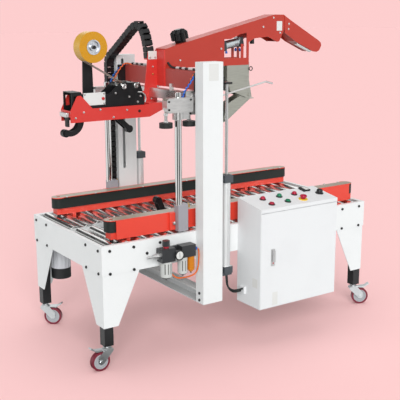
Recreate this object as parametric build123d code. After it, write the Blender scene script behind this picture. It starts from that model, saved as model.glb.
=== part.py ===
from build123d import *
import math
import os

# Carton sealer on four braked casters. Lengths are in millimetres. X runs along the bed: cartons
# enter at +X and leave at -X. The near side is -Y, and Z is up from the floor. The pieces are
# drawn about the middle of the bed and moved at the end, so that the origin is on the floor
# below the middle of the whole machine.

# Bed
bed_length = 1770.0
bed_width = 820.0
table_height = 650.0
bed_side_height = 150.0
sheet = 4.0
side_flange = 20.0

# Legs and casters
leg_bottom = 226.0
leg_foot_width = 82.0
leg_hip_side = 208.0
leg_hip_end = 224.0
leg_top_gap = 12.0
tube_side = 50.0
tube_wall = 4.0
tube_bottom = 128.0
tube_top_drop = 30.0
wheel_diameter = 100.0
wheel_width = 26.0
hub_width = 32.0
hub_radius = 34.0
hub_recess = 6.0
boss_radius = 13.0
axle_radius = 5.0
caster_trail = 42.0
fork_plate = 3.0
fork_gap = 6.0
fork_crown_half = 26.0
caster_bowl_radius = 22.0
caster_bowl_height = 8.0
caster_post_radius = 11.0
caster_seat_gap = 0.3

# Rollers and the rails that carry them. A roller's tube has sixteen flats: there are 42 of them.
roller_diameter = 48.0
roller_sides = 16
roller_pitch = 81.0
roller_margin = 68.5
roller_above_table = 3.0
roller_end_gap = 2.0
roller_pin_radius = 5.0
centre_gap = 30.0
rail_below_pin = 25.0
rail_above_pin = 13.0
head_gap = 98.0
head_gap_left = -695.0
head_gap_right = -209.0
rail_thickness = 4.0
bearer_width = 50.0
bearer_height = 40.0
bearer_outfeed_inset = 65.0
bearer_middle = 196.0
bearer_infeed_inset = 185.0

# Mast
column_x = -334.0
column_width = 122.0
column_depth = 70.0
column_wall = 5.0
column_rise = 55.0
column_drop = 388.0
slot_bottom = 860.0
slot_top_drop = 30.0
slot_width = 18.0
slot_offset = -22.0
foot_beam_height = 68.0
foot_beam_width = 60.0

# Lift cylinders
cylinder_radius = 22.0
cylinder_wall = 3.0
cylinder_offset = 44.0
cylinder_drop = 245.0
cylinder_length = 530.0
cylinder_cap = 38.0
cylinder_cap_side = 52.0
cylinder_foot = 12.0
lift_rod_radius = 8.0
rod_gap = 0.05
piston_height = 24.0

# Two cables from the near lift cylinder to the gland of the cabinet
cable_radius = 5.0
cable_bend = 58.0
cable_spread = 16.0
cable_lean = 12.0
cable_seat = 1.0
gland_side = 40.0
gland_thickness = 12.0
gland_y = -467.0
gland_z = 293.0

# Head. Heights on the head are measured from the top of the crossbeam.
crossbeam_depth = 60.0
crossbeam_height = 95.0
crossbeam_top = 1465.0
crossbeam_wall = 5.0
crossbeam_end_gap = 8.0
crossbeam_offset = 18.0
carriage_plate = 8.0
carriage_gap = 6.0
ear_drop = 60.0
ear_height = 10.0
ear_half = 18.0
tongue_thickness = 6.0
guide_rail_depth = 42.0
guide_rail_height = 50.0
guide_rail_drop = 8.0
guide_rail_offset = 14.0
rail_lug_y = 120.0

# Arm over the bed: its outline and its window, as x and height above the crossbeam
arm_half_width = 48.0
arm_sheet = 4.0
arm_end_rise = 104.0
arm_top = [(464.0, 280.0), (532.0, 279.0), (570.0, 256.0)]
arm_under = [(522.0, 165.0), (500.0, 126.0), (482.0, 124.0), (455.0, 138.0), (415.0, 155.0),
             (318.0, 147.0), (278.0, 128.0), (278.0, 0.0)]
window = [(105.0, 40.0), (222.0, 40.0), (222.0, 118.0), (240.0, 118.0), (240.0, 40.0), (262.0, 40.0),
          (262.0, 180.0), (215.0, 172.0), (150.0, 147.0), (105.0, 147.0)]
nose_line = [(536.0, 274.0), (590.0, 243.0), (808.0, 124.0), (824.0, 111.0), (828.0, 94.0),
             (812.0, 66.0), (790.0, 57.0), (762.0, 61.0), (628.0, 120.0), (540.0, 175.0)]
nose_web = [(566.0, 185.0), (628.0, 124.0), (762.0, 65.0), (790.0, 61.0)]
nose_sheet = 3.0

# Upper tape head: red frame, dark cartridge and its press arms
tape_frame_near = 75.0
tape_frame_far = 40.0
tape_frame_sheet = 5.0
tape_frame_drop = 248.0
tape_frame_height = 66.0
tape_left = -863.0
tape_right = -305.0
frame_tab = 68.0
upper_near = -66.0
upper_far = 31.0
upper_arm_half = 22.0
cartridge_sheet = 4.0
upper_outfeed_pivot = (-780.0, -230.0)
upper_infeed_pivot = (-585.0, -230.0)
upper_outfeed_tip = (-863.0, -308.0)
upper_infeed_tip = (-493.0, -313.0)
guide_roller_places = ((-553.0, -80.0), (-481.0, -78.0))
guide_roller_radius = 14.0
press_roller_radius = 20.0
arm_plate = 5.0
arm_pin_radius = 6.0
spacer_radius = 9.0

# Tape roll and its holder
tape_roll_radius = 79.0
tape_width = 70.0
tape_roll_x = -704.0
tape_roll_rise = 123.0
core_radius = 38.0
core_gap = 0.3
spindle_radius = 9.0
holder_thickness = 8.0

# Lower tape head. Heights are measured down from the table.
lower_half = 32.0
lower_arm_half = 25.0
lower_head_top = 30.0
lower_head_bottom = 220.0
lower_left = -660.0
lower_right = -240.0
lower_seat_drop = 38.0
lower_infeed_pivot = (-262.0, -44.0)
lower_outfeed_pivot = (-560.0, -60.0)
lower_infeed_tip = (-318.0, 85.0)
lower_outfeed_tip = (-618.0, -16.0)

# Side belt drives
drive_outer = 355.0
drive_above_table = 8.0
drive_sheet_height = 97.0
drive_sheet = 4.0
drive_base_height = 34.0
belt_height = 54.0
belt_thickness = 4.0
belt_gap = 2.0
pulley_radius = 34.0
pulley_gap = 0.3
drive_outfeed_inset = 109.0
drive_infeed_inset = 70.0
drive_shaft_radius = 10.0
drive_foot_half = 20.0
motor_radius = 50.0
motor_fin = 5.0
motor_fin_count = 16
motor_cap_height = 60.0
motor_drop = 150.0
motor_length = 210.0
guide_bar_radius = 14.0
guide_bar_drop = 78.0
guide_bar_outfeed_inset = 190.0
guide_bar_infeed_inset = 365.0
guide_bush_radius = 24.0
guide_bush_half = 35.0

# Rods and wheels that press the carton's sides
press_rod_radius = 17.5
press_rod_x = -417.0
press_rod_y = 378.0
press_rod_drop = 93.0
rod_block_height = 142.0
press_wheel_radius = 34.0
press_wheel_height = 26.0
press_wheel_y = 368.0
press_wheel_offsets = (-66.0, 72.0)
press_wheel_drop = 269.0
stem_radius = 8.0
stem_gap = 0.3
flap_bar_y = -330.0
flap_bar_radius = 5.0

# Electrical cabinet
cabinet_left = -62.0
cabinet_width = 532.0
cabinet_depth = 204.0
cabinet_bottom = 216.0
cabinet_front_height = 546.0
cabinet_back_height = 578.0
cabinet_sheet = 3.0
cabinet_lip = 18.0
door_sheet = 3.0
door_gap = 0.3
door_edge = 2.0
handle_inset = 68.0
handle_width = 24.0
handle_low = 235.0
handle_height = 92.0
handle_depth = 16.0

# Cable chain
chain_width = 48.0
chain_thickness = 34.0
chain_wall = 6.0
chain_link = 30.0
chain_link_gap = 0.5
chain_x = -372.0
chain_y = 430.0
chain_anchor = 680.0
chain_split_rise = 15.0
chain_end_gap = 8.0
chain_end_x = -320.0
chain_end_rise = 51.0
chain_ledge = 6.0
chain_seat_gap = 0.3

# End plate of the arm and the kicker under the arm
post_sheet = 6.0
gusset_y = 30.0
gusset_rise = 91.0
knob_x = -155.0
knob_neck_radius = 30.0
knob_neck_height = 16.0
knob_core_radius = 36.0
knob_lobe_radius = 13.0
knob_lobes = 8
knob_height = 40.0
knob_top_height = 16.0
kicker_x = 285.0
kicker_z = 1292.0
kicker_pin_radius = 8.0
kicker_sheet = 4.0
kicker_side_gap = 6.0
bracket_rise = 15.0

# Air unit on the near bed side, from the outfeed end of the bed
air_inset = 302.0
air_drop = 82.0
air_stand = 45.0
inlet_radius = 6.5
inlet_length = 35.0

# Lamps and buttons on the panel: place from the cabinet's left and back edges, radius, height
panel_layout = (
    (60.0, -60.0, 11.0, 16.0),
    (150.0, -60.0, 11.0, 16.0),
    (240.0, -60.0, 11.0, 16.0),
    (90.0, -150.0, 11.0, 12.0),
    (190.0, -150.0, 11.0, 12.0),
    (290.0, -150.0, 20.0, 26.0),
    (370.0, -90.0, 22.0, 10.0),
    (450.0, -120.0, 16.0, 20.0),
)
panel_sides = 16

half_length = bed_length / 2
half_width = bed_width / 2
side_bottom = table_height - bed_side_height
roller_radius = roller_diameter / 2
roller_z = table_height + roller_above_table - roller_radius
roller_first_x = -half_length + roller_margin
roller_count = 1 + int((bed_length - 2 * roller_margin) // roller_pitch)
leg_reach = half_length - sheet - leg_hip_side
bearer_places = (-half_length + bearer_outfeed_inset, bearer_middle, half_length - bearer_infeed_inset)
column_top = crossbeam_top + column_rise
column_bottom = table_height - column_drop
cylinder_x = column_x + column_width + cylinder_offset
cylinder_y = half_width + column_depth / 2 + 5
cylinder_bottom = table_height - cylinder_drop
cylinder_top = cylinder_bottom + cylinder_length
crossbeam_x = column_x + (column_width - crossbeam_depth) / 2 + crossbeam_offset
crossbeam_low = crossbeam_top - crossbeam_height
crossbeam_end = half_width - crossbeam_end_gap
rail_left = crossbeam_x - guide_rail_depth - guide_rail_offset
rail_right = rail_left + guide_rail_depth
rail_top = crossbeam_low - guide_rail_drop
arm_left = crossbeam_x
tape_frame_bottom = crossbeam_top - tape_frame_drop
tape_frame_top = tape_frame_bottom + tape_frame_height
tape_roll_z = crossbeam_top + tape_roll_rise
drive_bottom = table_height + drive_above_table
drive_base = drive_bottom + drive_base_height
drive_top = drive_bottom + drive_sheet_height
belt_low = drive_base + belt_gap
drive_pulley_x = -half_length + drive_outfeed_inset
idler_pulley_x = half_length - drive_infeed_inset
pulley_y = drive_outer - drive_sheet - belt_gap - belt_thickness - pulley_radius
guide_bar_z = table_height - guide_bar_drop
guide_bar_places = (-half_length + guide_bar_outfeed_inset, half_length - guide_bar_infeed_inset)
motor_top = table_height - motor_drop
motor_bottom = motor_top - motor_length
press_rod_top = crossbeam_top - press_rod_drop
press_wheel_z = crossbeam_top - press_wheel_drop
chain_split = crossbeam_top + chain_split_rise
chain_end_low = crossbeam_top + chain_end_rise
chain_end_z = crossbeam_top + gusset_rise
chain_end_y = gusset_y + post_sheet + chain_end_gap + chain_thickness / 2
bracket_top = crossbeam_top + bracket_rise
air_left = -half_length + air_inset
air_y = -half_width - air_stand
air_z = table_height - air_drop


def raised(points):
    """Points given as x and height above the crossbeam, as x and z."""
    return [(x, crossbeam_top + rise) for x, rise in points]


def from_table(point):
    """A point given as x and height from the table, as x and z."""
    return point[0], table_height + point[1]


def wall_at(x):
    """Inner face of the bed side at x: nearer the middle where a leg's wing lies on it."""
    return half_width - sheet * (2 if abs(x) > leg_reach - bearer_width / 2 else 1)


def gap_at(x):
    """Half the gap between the rows of rollers at x: wider over the lower tape head."""
    return (head_gap if head_gap_left < x < head_gap_right else centre_gap) / 2


def outline(points):
    """A flat face inside the closed line through the points."""
    return make_face(Polyline(*points, close=True))


def along_y(shape, low, high):
    """A face drawn in X and Z, carried along Y from low to high."""
    return extrude(Plane.XZ.offset(-high) * shape, high - low)


def along_x(shape, low, high):
    """A face drawn in Y and Z, carried along X from low to high."""
    return extrude(Plane.YZ.offset(low) * shape, high - low)


def along_z(shape, low, high):
    """A face drawn in X and Y, carried up from low to high."""
    return extrude(Plane.XY.offset(low) * shape, high - low)


def rectangle(left, right, low, high):
    """A rectangle between two corners."""
    return outline([(left, low), (right, low), (right, high), (left, high)])


def strip(points, thickness):
    """The closed section of one sheet bent along an open line, thickened to the line's left."""
    line = [Vector(*p) for p in points]
    ways = [(b - a).normalized() for a, b in zip(line, line[1:])]
    lefts = [Vector(-w.Y, w.X) for w in ways]
    inner = [line[0] + lefts[0] * thickness]
    for point, before, after in zip(line[1:-1], lefts, lefts[1:]):
        middle = (before + after).normalized()
        inner.append(point + middle * (thickness / middle.dot(after)))
    inner.append(line[-1] + lefts[-1] * thickness)
    return outline([(p.X, p.Y) for p in line + inner[::-1]])


def rod_y(x, z, radius, low, high):
    """A round bar along Y."""
    return along_y(Pos(x, z) * Circle(radius), low, high)


def rod_x(y, z, radius, low, high):
    """A round bar along X."""
    return along_x(Pos(y, z) * Circle(radius), low, high)


def rod_z(x, y, radius, low, high):
    """A round bar along Z."""
    return along_z(Pos(x, y) * Circle(radius), low, high)


def hex_y(x, z, radius, low, high):
    """A six-sided bar along Y."""
    return along_y(Pos(x, z) * RegularPolygon(radius, 6), low, high)


def other_side(shape):
    """The same piece across the middle of the bed in Y."""
    return mirror(shape, about=Plane.XZ)


def other_end(shape):
    """The same piece across the middle of the bed in X."""
    return mirror(shape, about=Plane.YZ)


def bed_side():
    """Near bed side: one sheet folded to a channel, with its flanges turned inwards."""
    outer = -half_width
    top = [(outer + side_flange, table_height), (outer, table_height), (outer, side_bottom)]
    ends = half_length - sheet
    side = along_x(strip(top, sheet), -ends, ends)
    flange = rectangle(outer, outer + side_flange, side_bottom, side_bottom + sheet)
    return side + along_x(flange, -leg_reach + 1, leg_reach - 1)


def end_plate():
    """Outfeed end plate: a folded channel that closes the end of the bed."""
    outer = -half_length
    web = rectangle(outer, outer + sheet, side_bottom, table_height)
    plate = along_y(web, -half_width, half_width)
    top = rectangle(outer, outer + side_flange, table_height - sheet, table_height)
    reach = half_width - side_flange - 1
    plate += along_y(top, -reach, reach)
    low = rectangle(outer, outer + side_flange, side_bottom, side_bottom + sheet)
    reach = half_width - sheet - leg_hip_end - 1
    return plate + along_y(low, -reach, reach)


def leg():
    """Outfeed near leg: one sheet folded round the corner, each wing tapering to the foot."""
    corner_x = -half_length + sheet
    corner_y = -half_width + sheet
    top = table_height - leg_top_gap
    side_wing = outline([
        (corner_x, leg_bottom),
        (corner_x + leg_foot_width, leg_bottom),
        (corner_x + leg_hip_side, side_bottom - sheet),
        (corner_x + leg_hip_side, top),
        (corner_x, top),
    ])
    end_wing = outline([
        (corner_y, leg_bottom),
        (corner_y + leg_foot_width, leg_bottom),
        (corner_y + leg_hip_end, side_bottom - sheet),
        (corner_y + leg_hip_end, top),
        (corner_y, top),
    ])
    folded = along_y(side_wing, corner_y, corner_y + sheet)
    folded += along_x(end_wing, corner_x, corner_x + sheet)
    return folded


def leg_tube():
    """Outfeed near height tube: a square tube inside the leg, with a plate for the caster."""
    x = -half_length + 2 * sheet
    y = -half_width + 2 * sheet
    outer = rectangle(x, x + tube_side, y, y + tube_side)
    inner = rectangle(x + tube_wall, x + tube_side - tube_wall, y + tube_wall, y + tube_side - tube_wall)
    tube = along_z(outer - inner, tube_bottom, side_bottom - tube_top_drop)
    return tube + along_z(outer, tube_bottom, tube_bottom + tube_wall)


tube_x = half_length - 2 * sheet - tube_side / 2
tube_y = half_width - 2 * sheet - tube_side / 2
caster_places = {
    "outfeed_near": (-tube_x, -tube_y, 180.0),
    "outfeed_far": (-tube_x, tube_y, -40.0),
    "infeed_near": (tube_x, -tube_y, -30.0),
    "infeed_far": (tube_x, tube_y, 150.0),
}


def caster_fork():
    """Caster fork about its post, trailing along +X: two cheeks, a crown, a bowl and a pedal."""
    axle_z = wheel_diameter / 2
    crown_z = wheel_diameter + fork_gap
    crown_top = crown_z + fork_plate
    inside = hub_width / 2 + 1
    outside = inside + fork_plate
    half = fork_crown_half
    cheek = outline([
        (caster_trail + 16, axle_z - 4),
        (caster_trail + 8, axle_z - 13),
        (caster_trail - 8, axle_z - 13),
        (-half, crown_z - 8),
        (-half, crown_z),
        (half, crown_z),
        (caster_trail + 16, axle_z + 24),
    ])
    fork = along_y(cheek, -outside, -inside) + along_y(cheek, inside, outside)
    fork += along_y(rectangle(-half, half, crown_z, crown_top), -outside, outside)
    bowl_top = crown_top + caster_bowl_height
    fork += rod_z(0, 0, caster_bowl_radius, crown_top, bowl_top)
    fork += rod_z(0, 0, caster_post_radius, bowl_top, tube_bottom - caster_seat_gap)
    fork += rod_y(caster_trail, axle_z, axle_radius, -outside, outside)
    for low, high in ((-outside - 4, -outside), (outside, outside + 4)):
        fork += hex_y(caster_trail, axle_z, 2 * axle_radius, low, high)
    pedal = outline([
        (caster_trail + 30, crown_z + 10),
        (caster_trail + 52, crown_z + 26),
        (caster_trail + 56, crown_z + 20),
        (caster_trail + 22, crown_z - 2),
        (caster_bowl_radius - 4, crown_z),
        (caster_bowl_radius - 4, crown_top + 1),
    ])
    return fork + along_y(pedal, -14, 14)


def caster_wheel():
    """Caster wheel: a tread on a hub that is recessed on both sides, bored for its axle."""
    radius = wheel_diameter / 2
    half = wheel_width / 2
    web_half = half - hub_recess
    boss_half = hub_width / 2
    wheel = along_y(Circle(radius) - Circle(hub_radius), -half, half)
    wheel += along_y(Circle(hub_radius), -web_half, web_half)
    wheel += along_y(Circle(boss_radius), -boss_half, boss_half)
    wheel -= along_y(Circle(axle_radius + rod_gap), -boss_half, boss_half)
    return Pos(caster_trail, 0, radius) * wheel


def bearers():
    """Cross members under the bed: folded channels from side to side."""
    solids = []
    top = roller_z - rail_below_pin
    low = top - bearer_height
    for x in bearer_places:
        reach = wall_at(x)
        section = [
            (x + bearer_width / 2, low),
            (x + bearer_width / 2, top),
            (x - bearer_width / 2, top),
            (x - bearer_width / 2, low),
        ]
        solids.append(along_y(strip(section, sheet), -reach, reach))
    return solids


def centre_rails():
    """Two rails along the middle of the bed, set wider round the lower tape head."""
    ends = half_length - sheet
    near = centre_gap / 2
    wide = head_gap / 2
    line = [
        (ends, -near),
        (head_gap_right, -near),
        (head_gap_right, -wide),
        (head_gap_left, -wide),
        (head_gap_left, -near),
        (-ends, -near),
    ]
    low = roller_z - rail_below_pin
    rail = along_z(strip(line, rail_thickness), low, roller_z + rail_above_pin)
    return [rail, other_side(rail)]


def roller_row():
    """Near row of rollers: each a closed tube on a six-sided pin between rail and side."""
    outer = -half_width + side_flange + roller_end_gap
    solids = []
    for place in range(roller_count):
        x = roller_first_x + place * roller_pitch
        inner = -gap_at(x) - rail_thickness
        tube = Pos(x, roller_z) * RegularPolygon(roller_radius, roller_sides)
        roller = along_y(tube, outer, inner - roller_end_gap)
        solids.append(roller + hex_y(x, roller_z, roller_pin_radius, -wall_at(x), inner))
    return solids


def column():
    """Near mast column: a rectangular tube with a slot for the carriage in its inner face."""
    inner = -half_width
    outer = inner - column_depth
    right = column_x + column_width
    tube = along_z(rectangle(column_x, right, outer, inner), column_bottom, column_top)
    hollow = rectangle(
        column_x + column_wall, right - column_wall, outer + column_wall, inner - column_wall
    )
    tube -= along_z(hollow, column_bottom + column_wall, column_top - column_wall)
    slot_top = column_top - slot_top_drop
    slot = Rot(0, 0, 90) * SlotCenterToCenter(slot_top - slot_bottom, slot_width)
    slot_x = column_x + column_width / 2 + slot_offset
    return tube - along_y(Pos(slot_x, (slot_top + slot_bottom) / 2) * slot, inner - column_wall, inner)


def far_column():
    """Far mast column, with the ledge that the foot of the cable chain stands on."""
    ledge = rectangle(
        chain_x - chain_width / 2, column_x, chain_y - chain_thickness / 2, chain_y + chain_thickness / 2
    )
    return other_side(column()) + along_z(ledge, chain_anchor - chain_ledge, chain_anchor)


def foot_beam():
    """Channel under the bed that joins the feet of the two columns."""
    low = column_bottom
    high = low + foot_beam_height
    right = column_x + foot_beam_width
    section = [(column_x, high), (right, high), (right, low), (column_x, low)]
    return along_y(strip(section[::-1], sheet), -half_width, half_width)


def lift_cylinder():
    """Near lift cylinder: a tube with square end caps and two lugs to the column."""
    y = -cylinder_y
    x = cylinder_x
    half = cylinder_cap_side / 2
    cap_low = cylinder_top - cylinder_cap
    body = rod_z(x, y, cylinder_radius, cylinder_bottom, cylinder_top)
    square = rectangle(x - half, x + half, y - half, y + half)
    body += along_z(square, cylinder_bottom, cylinder_bottom + cylinder_cap)
    body += along_z(square, cap_low, cylinder_top)
    foot = rectangle(column_x + column_width, x + half, y - ear_half, y + ear_half)
    body += along_z(foot, cylinder_bottom - cylinder_foot, cylinder_bottom)
    body += along_z(foot, cylinder_top - 2 * cylinder_foot, cylinder_top - cylinder_foot)
    body -= rod_z(x, y, cylinder_radius - cylinder_wall, cylinder_bottom + 8, cap_low + 8)
    return body - rod_z(x, y, lift_rod_radius + rod_gap, cap_low, cylinder_top)


def lift_rod():
    """Near lift rod: its piston is inside the cylinder and its top is in the carriage's ear."""
    bore = cylinder_radius - cylinder_wall
    piston_top = cylinder_top - cylinder_cap - piston_height + 4
    rod = rod_z(cylinder_x, -cylinder_y, lift_rod_radius, piston_top, crossbeam_top - ear_drop)
    return rod + rod_z(cylinder_x, -cylinder_y, bore - rod_gap, piston_top - piston_height, piston_top)


def cylinder_cables():
    """Two cables from the foot of the near lift cylinder, round one bend, into the gland."""
    solids = []
    top = cylinder_bottom - cylinder_foot - cable_seat
    end = cabinet_left - gland_thickness - door_gap
    for side in (-1, 1):
        x = cylinder_x + side * cable_spread / 2
        y = gland_y + side * cable_spread / 2
        z = gland_z - side * cable_spread / 2
        line = FilletPolyline((x, y + cable_lean, top), (x, y, z), (end, y, z), radius=cable_bend)
        section = Plane(origin=line @ 0, z_dir=line % 0) * RegularPolygon(cable_radius, 8)
        solids.append(sweep(section, path=line))
    return solids


def crossbeam():
    """Square tube across the bed that carries the head between the two columns."""
    right = crossbeam_x + crossbeam_depth
    wall = crossbeam_wall
    outer = rectangle(crossbeam_x, right, crossbeam_low, crossbeam_top)
    inner = rectangle(crossbeam_x + wall, right - wall, crossbeam_low + wall, crossbeam_top - wall)
    reach = crossbeam_end - carriage_plate
    return along_y(outer - inner, -reach, reach)


def carriage():
    """Near carriage: end plate of the crossbeam, a tongue and a guide block in the column."""
    ear_right = cylinder_x + cylinder_radius
    right = column_x + column_width
    plate = outline([
        (column_x + 2, crossbeam_low),
        (ear_right, crossbeam_low),
        (ear_right, crossbeam_top - ear_drop / 2),
        (right, crossbeam_top),
        (column_x + 2, crossbeam_top),
    ])
    body = along_y(plate, -crossbeam_end, -crossbeam_end + carriage_plate)
    middle = column_x + column_width / 2
    inside = -half_width - column_wall - carriage_gap
    low, high = crossbeam_low + carriage_gap, crossbeam_top - carriage_gap
    x = middle + slot_offset
    tongue = rectangle(x - tongue_thickness / 2, x + tongue_thickness / 2, low, high)
    body += along_y(tongue, inside, -crossbeam_end)
    reach = column_width / 2 - column_wall - 2 * carriage_gap
    depth = column_depth - 2 * column_wall - 3 * carriage_gap
    body += along_y(rectangle(middle - reach, middle + reach, low, high), inside - depth, inside)
    ear = rectangle(cylinder_x - ear_half, ear_right, -cylinder_y - ear_half, -crossbeam_end)
    return body + along_z(ear, crossbeam_top - ear_drop, crossbeam_top - ear_drop + ear_height)


def guide_rail():
    """Bright rail along the crossbeam, on which the side presses slide."""
    section = rectangle(rail_left, rail_right, rail_top - guide_rail_height, rail_top)
    reach = crossbeam_end - carriage_plate
    rail = along_y(section, -reach, reach)
    lug = rectangle(rail_right, crossbeam_x, rail_top - 30, crossbeam_low + 20)
    for y in (-rail_lug_y, rail_lug_y):
        rail += along_y(lug, y - 12, y + 12)
    return rail


def arm_housing():
    """Red sheet housing of the arm: two cheeks and a folded cover, with a window in each cheek."""
    line = raised([(arm_left, arm_end_rise)] + arm_top + arm_under + [(arm_left, 0.0)])
    solid = along_y(outline(line), -arm_half_width, arm_half_width)
    (top_x, top_rise), (crest_x, crest_rise), (tip_x, tip_rise) = arm_top
    inside = raised([
        (arm_left + arm_sheet, arm_end_rise - arm_sheet - 3),
        (top_x, top_rise - arm_sheet),
        (crest_x - 1, crest_rise - arm_sheet),
        (tip_x - 6, tip_rise - 1),
        (524.0, 185.0),
        (478.0, 95.0),
        (290.0, -25.0),
        (arm_left + arm_sheet, -25.0),
    ])
    solid -= along_y(outline(inside), -arm_half_width + arm_sheet, arm_half_width - arm_sheet)
    return solid - along_y(outline(raised(window)), -arm_half_width, arm_half_width)


def arm_post():
    """Red end plate of the arm, with a gusset that carries the tape frame and the chain."""
    plate = rectangle(-arm_half_width, arm_half_width, crossbeam_low, crossbeam_top + arm_end_rise - 6)
    post = along_x(plate, arm_left - post_sheet, arm_left)
    right = arm_left - post_sheet
    neck = crossbeam_top - 120
    shape = outline([
        (right, chain_end_z),
        (right - 52, chain_end_z),
        (right - 80, neck),
        (right - 105, neck),
        (right - 115, tape_frame_top),
        (right, tape_frame_top),
    ])
    shape -= rectangle(rail_left, rail_right, rail_top - guide_rail_height, rail_top)
    post += along_y(shape, gusset_y, gusset_y + post_sheet)
    foot = rectangle(right - 115, right, tape_frame_top, tape_frame_top + post_sheet)
    post += along_y(foot, -tape_frame_near, gusset_y + post_sheet)
    ledge = rectangle(
        chain_end_x - chain_width / 2, right, gusset_y, chain_end_y + chain_thickness / 2
    )
    ledge_top = chain_end_low - chain_seat_gap
    return post + along_z(ledge, ledge_top - chain_ledge, ledge_top)


def arm_nose():
    """Red channel that leads the cartons under the arm, bolted to the arm's end."""
    shape = outline(raised(nose_line))
    reach = arm_half_width + nose_sheet
    nose = along_y(shape, -reach, reach)
    nose -= along_y(shape, -reach + nose_sheet, reach - nose_sheet)
    web = strip(raised(nose_web), nose_sheet)
    return nose + along_y(web, -reach + nose_sheet, reach - nose_sheet)


def star_knob():
    """Black lobed knob with a rounded top, on a stud through the arm's cover."""
    lobes = Circle(knob_core_radius)
    for place in range(knob_lobes):
        lobes += Rot(0, 0, place * 360 / knob_lobes) * (Pos(knob_core_radius, 0) * Circle(knob_lobe_radius))
    knob = Pos(0, 0, knob_neck_height) * extrude(lobes, knob_height)
    top = Plane.XY.offset(knob_neck_height + knob_height) * scale(lobes, 0.96)
    knob += extrude(top, knob_top_height, taper=45)
    knob += along_z(RegularPolygon(knob_neck_radius, 12), 0, knob_neck_height)
    left, rise = arm_left, arm_end_rise
    slope = math.atan2(arm_top[0][1] - rise, arm_top[0][0] - left)
    foot_z = crossbeam_top + rise + (knob_x - left) * math.tan(slope)
    return Pos(knob_x, 0, foot_z) * Rot(0, -math.degrees(slope), 0) * knob


def kicker_cylinder():
    """Air cylinder of the flap kicker, inside the arm behind the windows."""
    body = Cylinder(24, 110)
    body += Pos(0, 0, -60) * Box(54, 54, 24)
    body += Pos(0, 0, 60) * Box(54, 54, 24)
    body += Pos(0, 0, -100) * Cylinder(7, 60)
    pin = Rot(90, 0, 0) * Cylinder(6, 2 * (arm_half_width - arm_sheet))
    body += Pos(0, 0, -125) * pin
    return Pos(184, 0, crossbeam_top + 118) * Rot(0, 80, 0) * body


def kicker_bracket():
    """Stainless bracket under the arm: two cheeks that carry the kicker's pivot."""
    cheek = outline([
        (128.0, bracket_top),
        (284.0, bracket_top),
        (284.0, 1378.0),
        (kicker_x + 20, kicker_z - 14),
        (kicker_x - 20, kicker_z - 14),
        (150.0, 1322.0),
        (128.0, 1385.0),
    ])
    cheek -= Pos(kicker_x, kicker_z) * Circle(kicker_pin_radius)
    outer = arm_half_width - arm_sheet
    bracket = along_y(cheek, -outer, -outer + kicker_sheet)
    bracket += along_y(cheek, outer - kicker_sheet, outer)
    top = rectangle(128.0, 284.0, bracket_top - kicker_sheet, bracket_top)
    bracket += along_y(top, -outer, outer)
    return bracket + rod_y(kicker_x, kicker_z, kicker_pin_radius, -outer - 4, outer + 4)


def kicker_blade():
    """The kicker: two arms on a sleeve, with a bent blade that folds the rear flap."""
    half = arm_half_width - arm_sheet - kicker_sheet - kicker_side_gap
    arm = outline([
        (kicker_x + 16, kicker_z + 12),
        (kicker_x - 10, kicker_z + 18),
        (170.0, 1262.0),
        (127.0, 1236.0),
        (118.0, 1160.0),
        (134.0, 1150.0),
        (kicker_x + 16, kicker_z - 16),
    ])
    arm -= Pos(kicker_x, kicker_z) * Circle(kicker_pin_radius + rod_gap)
    blade = along_y(arm, -half, -half + kicker_sheet)
    blade += along_y(arm, half - kicker_sheet, half)
    plate = strip([(102.0, 1140.0), (134.0, 1150.0), (300.0, 1268.0), (328.0, 1268.0)], kicker_sheet)
    clear = rod_y(kicker_x, kicker_z, kicker_pin_radius + 6, -half, half)
    return blade + (along_y(plate, -half, half) - clear)


def tape_frame():
    """Red channel frame that carries the tape head: two sides, an end and a bridge."""
    side = outline([
        (tape_left, tape_frame_bottom),
        (-402.0, tape_frame_bottom),
        (tape_right, tape_frame_bottom + 40),
        (tape_right, tape_frame_top),
        (-740.0, tape_frame_top),
        (-795.0, tape_frame_top + frame_tab - 8),
        (-803.0, tape_frame_top + frame_tab),
        (-820.0, tape_frame_top + frame_tab),
        (-828.0, tape_frame_top + frame_tab - 8),
        (tape_left, tape_frame_top - 6),
    ])
    near, far = -tape_frame_near, tape_frame_far
    frame = along_y(side, near, near + tape_frame_sheet)
    frame += along_y(side, far - tape_frame_sheet, far)
    end = rectangle(near, far, tape_frame_bottom + 26, tape_frame_top - 6)
    frame += along_x(end, tape_left, tape_left + tape_frame_sheet)
    bridge = rectangle(-420.0, tape_right, tape_frame_top - tape_frame_sheet, tape_frame_top)
    return frame + along_y(bridge, near, far)


def cartridge_plates(shape, low, high):
    """Two plates of one outline, the outer faces of a tape cartridge."""
    return along_y(shape, low, low + cartridge_sheet) + along_y(shape, high - cartridge_sheet, high)


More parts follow.
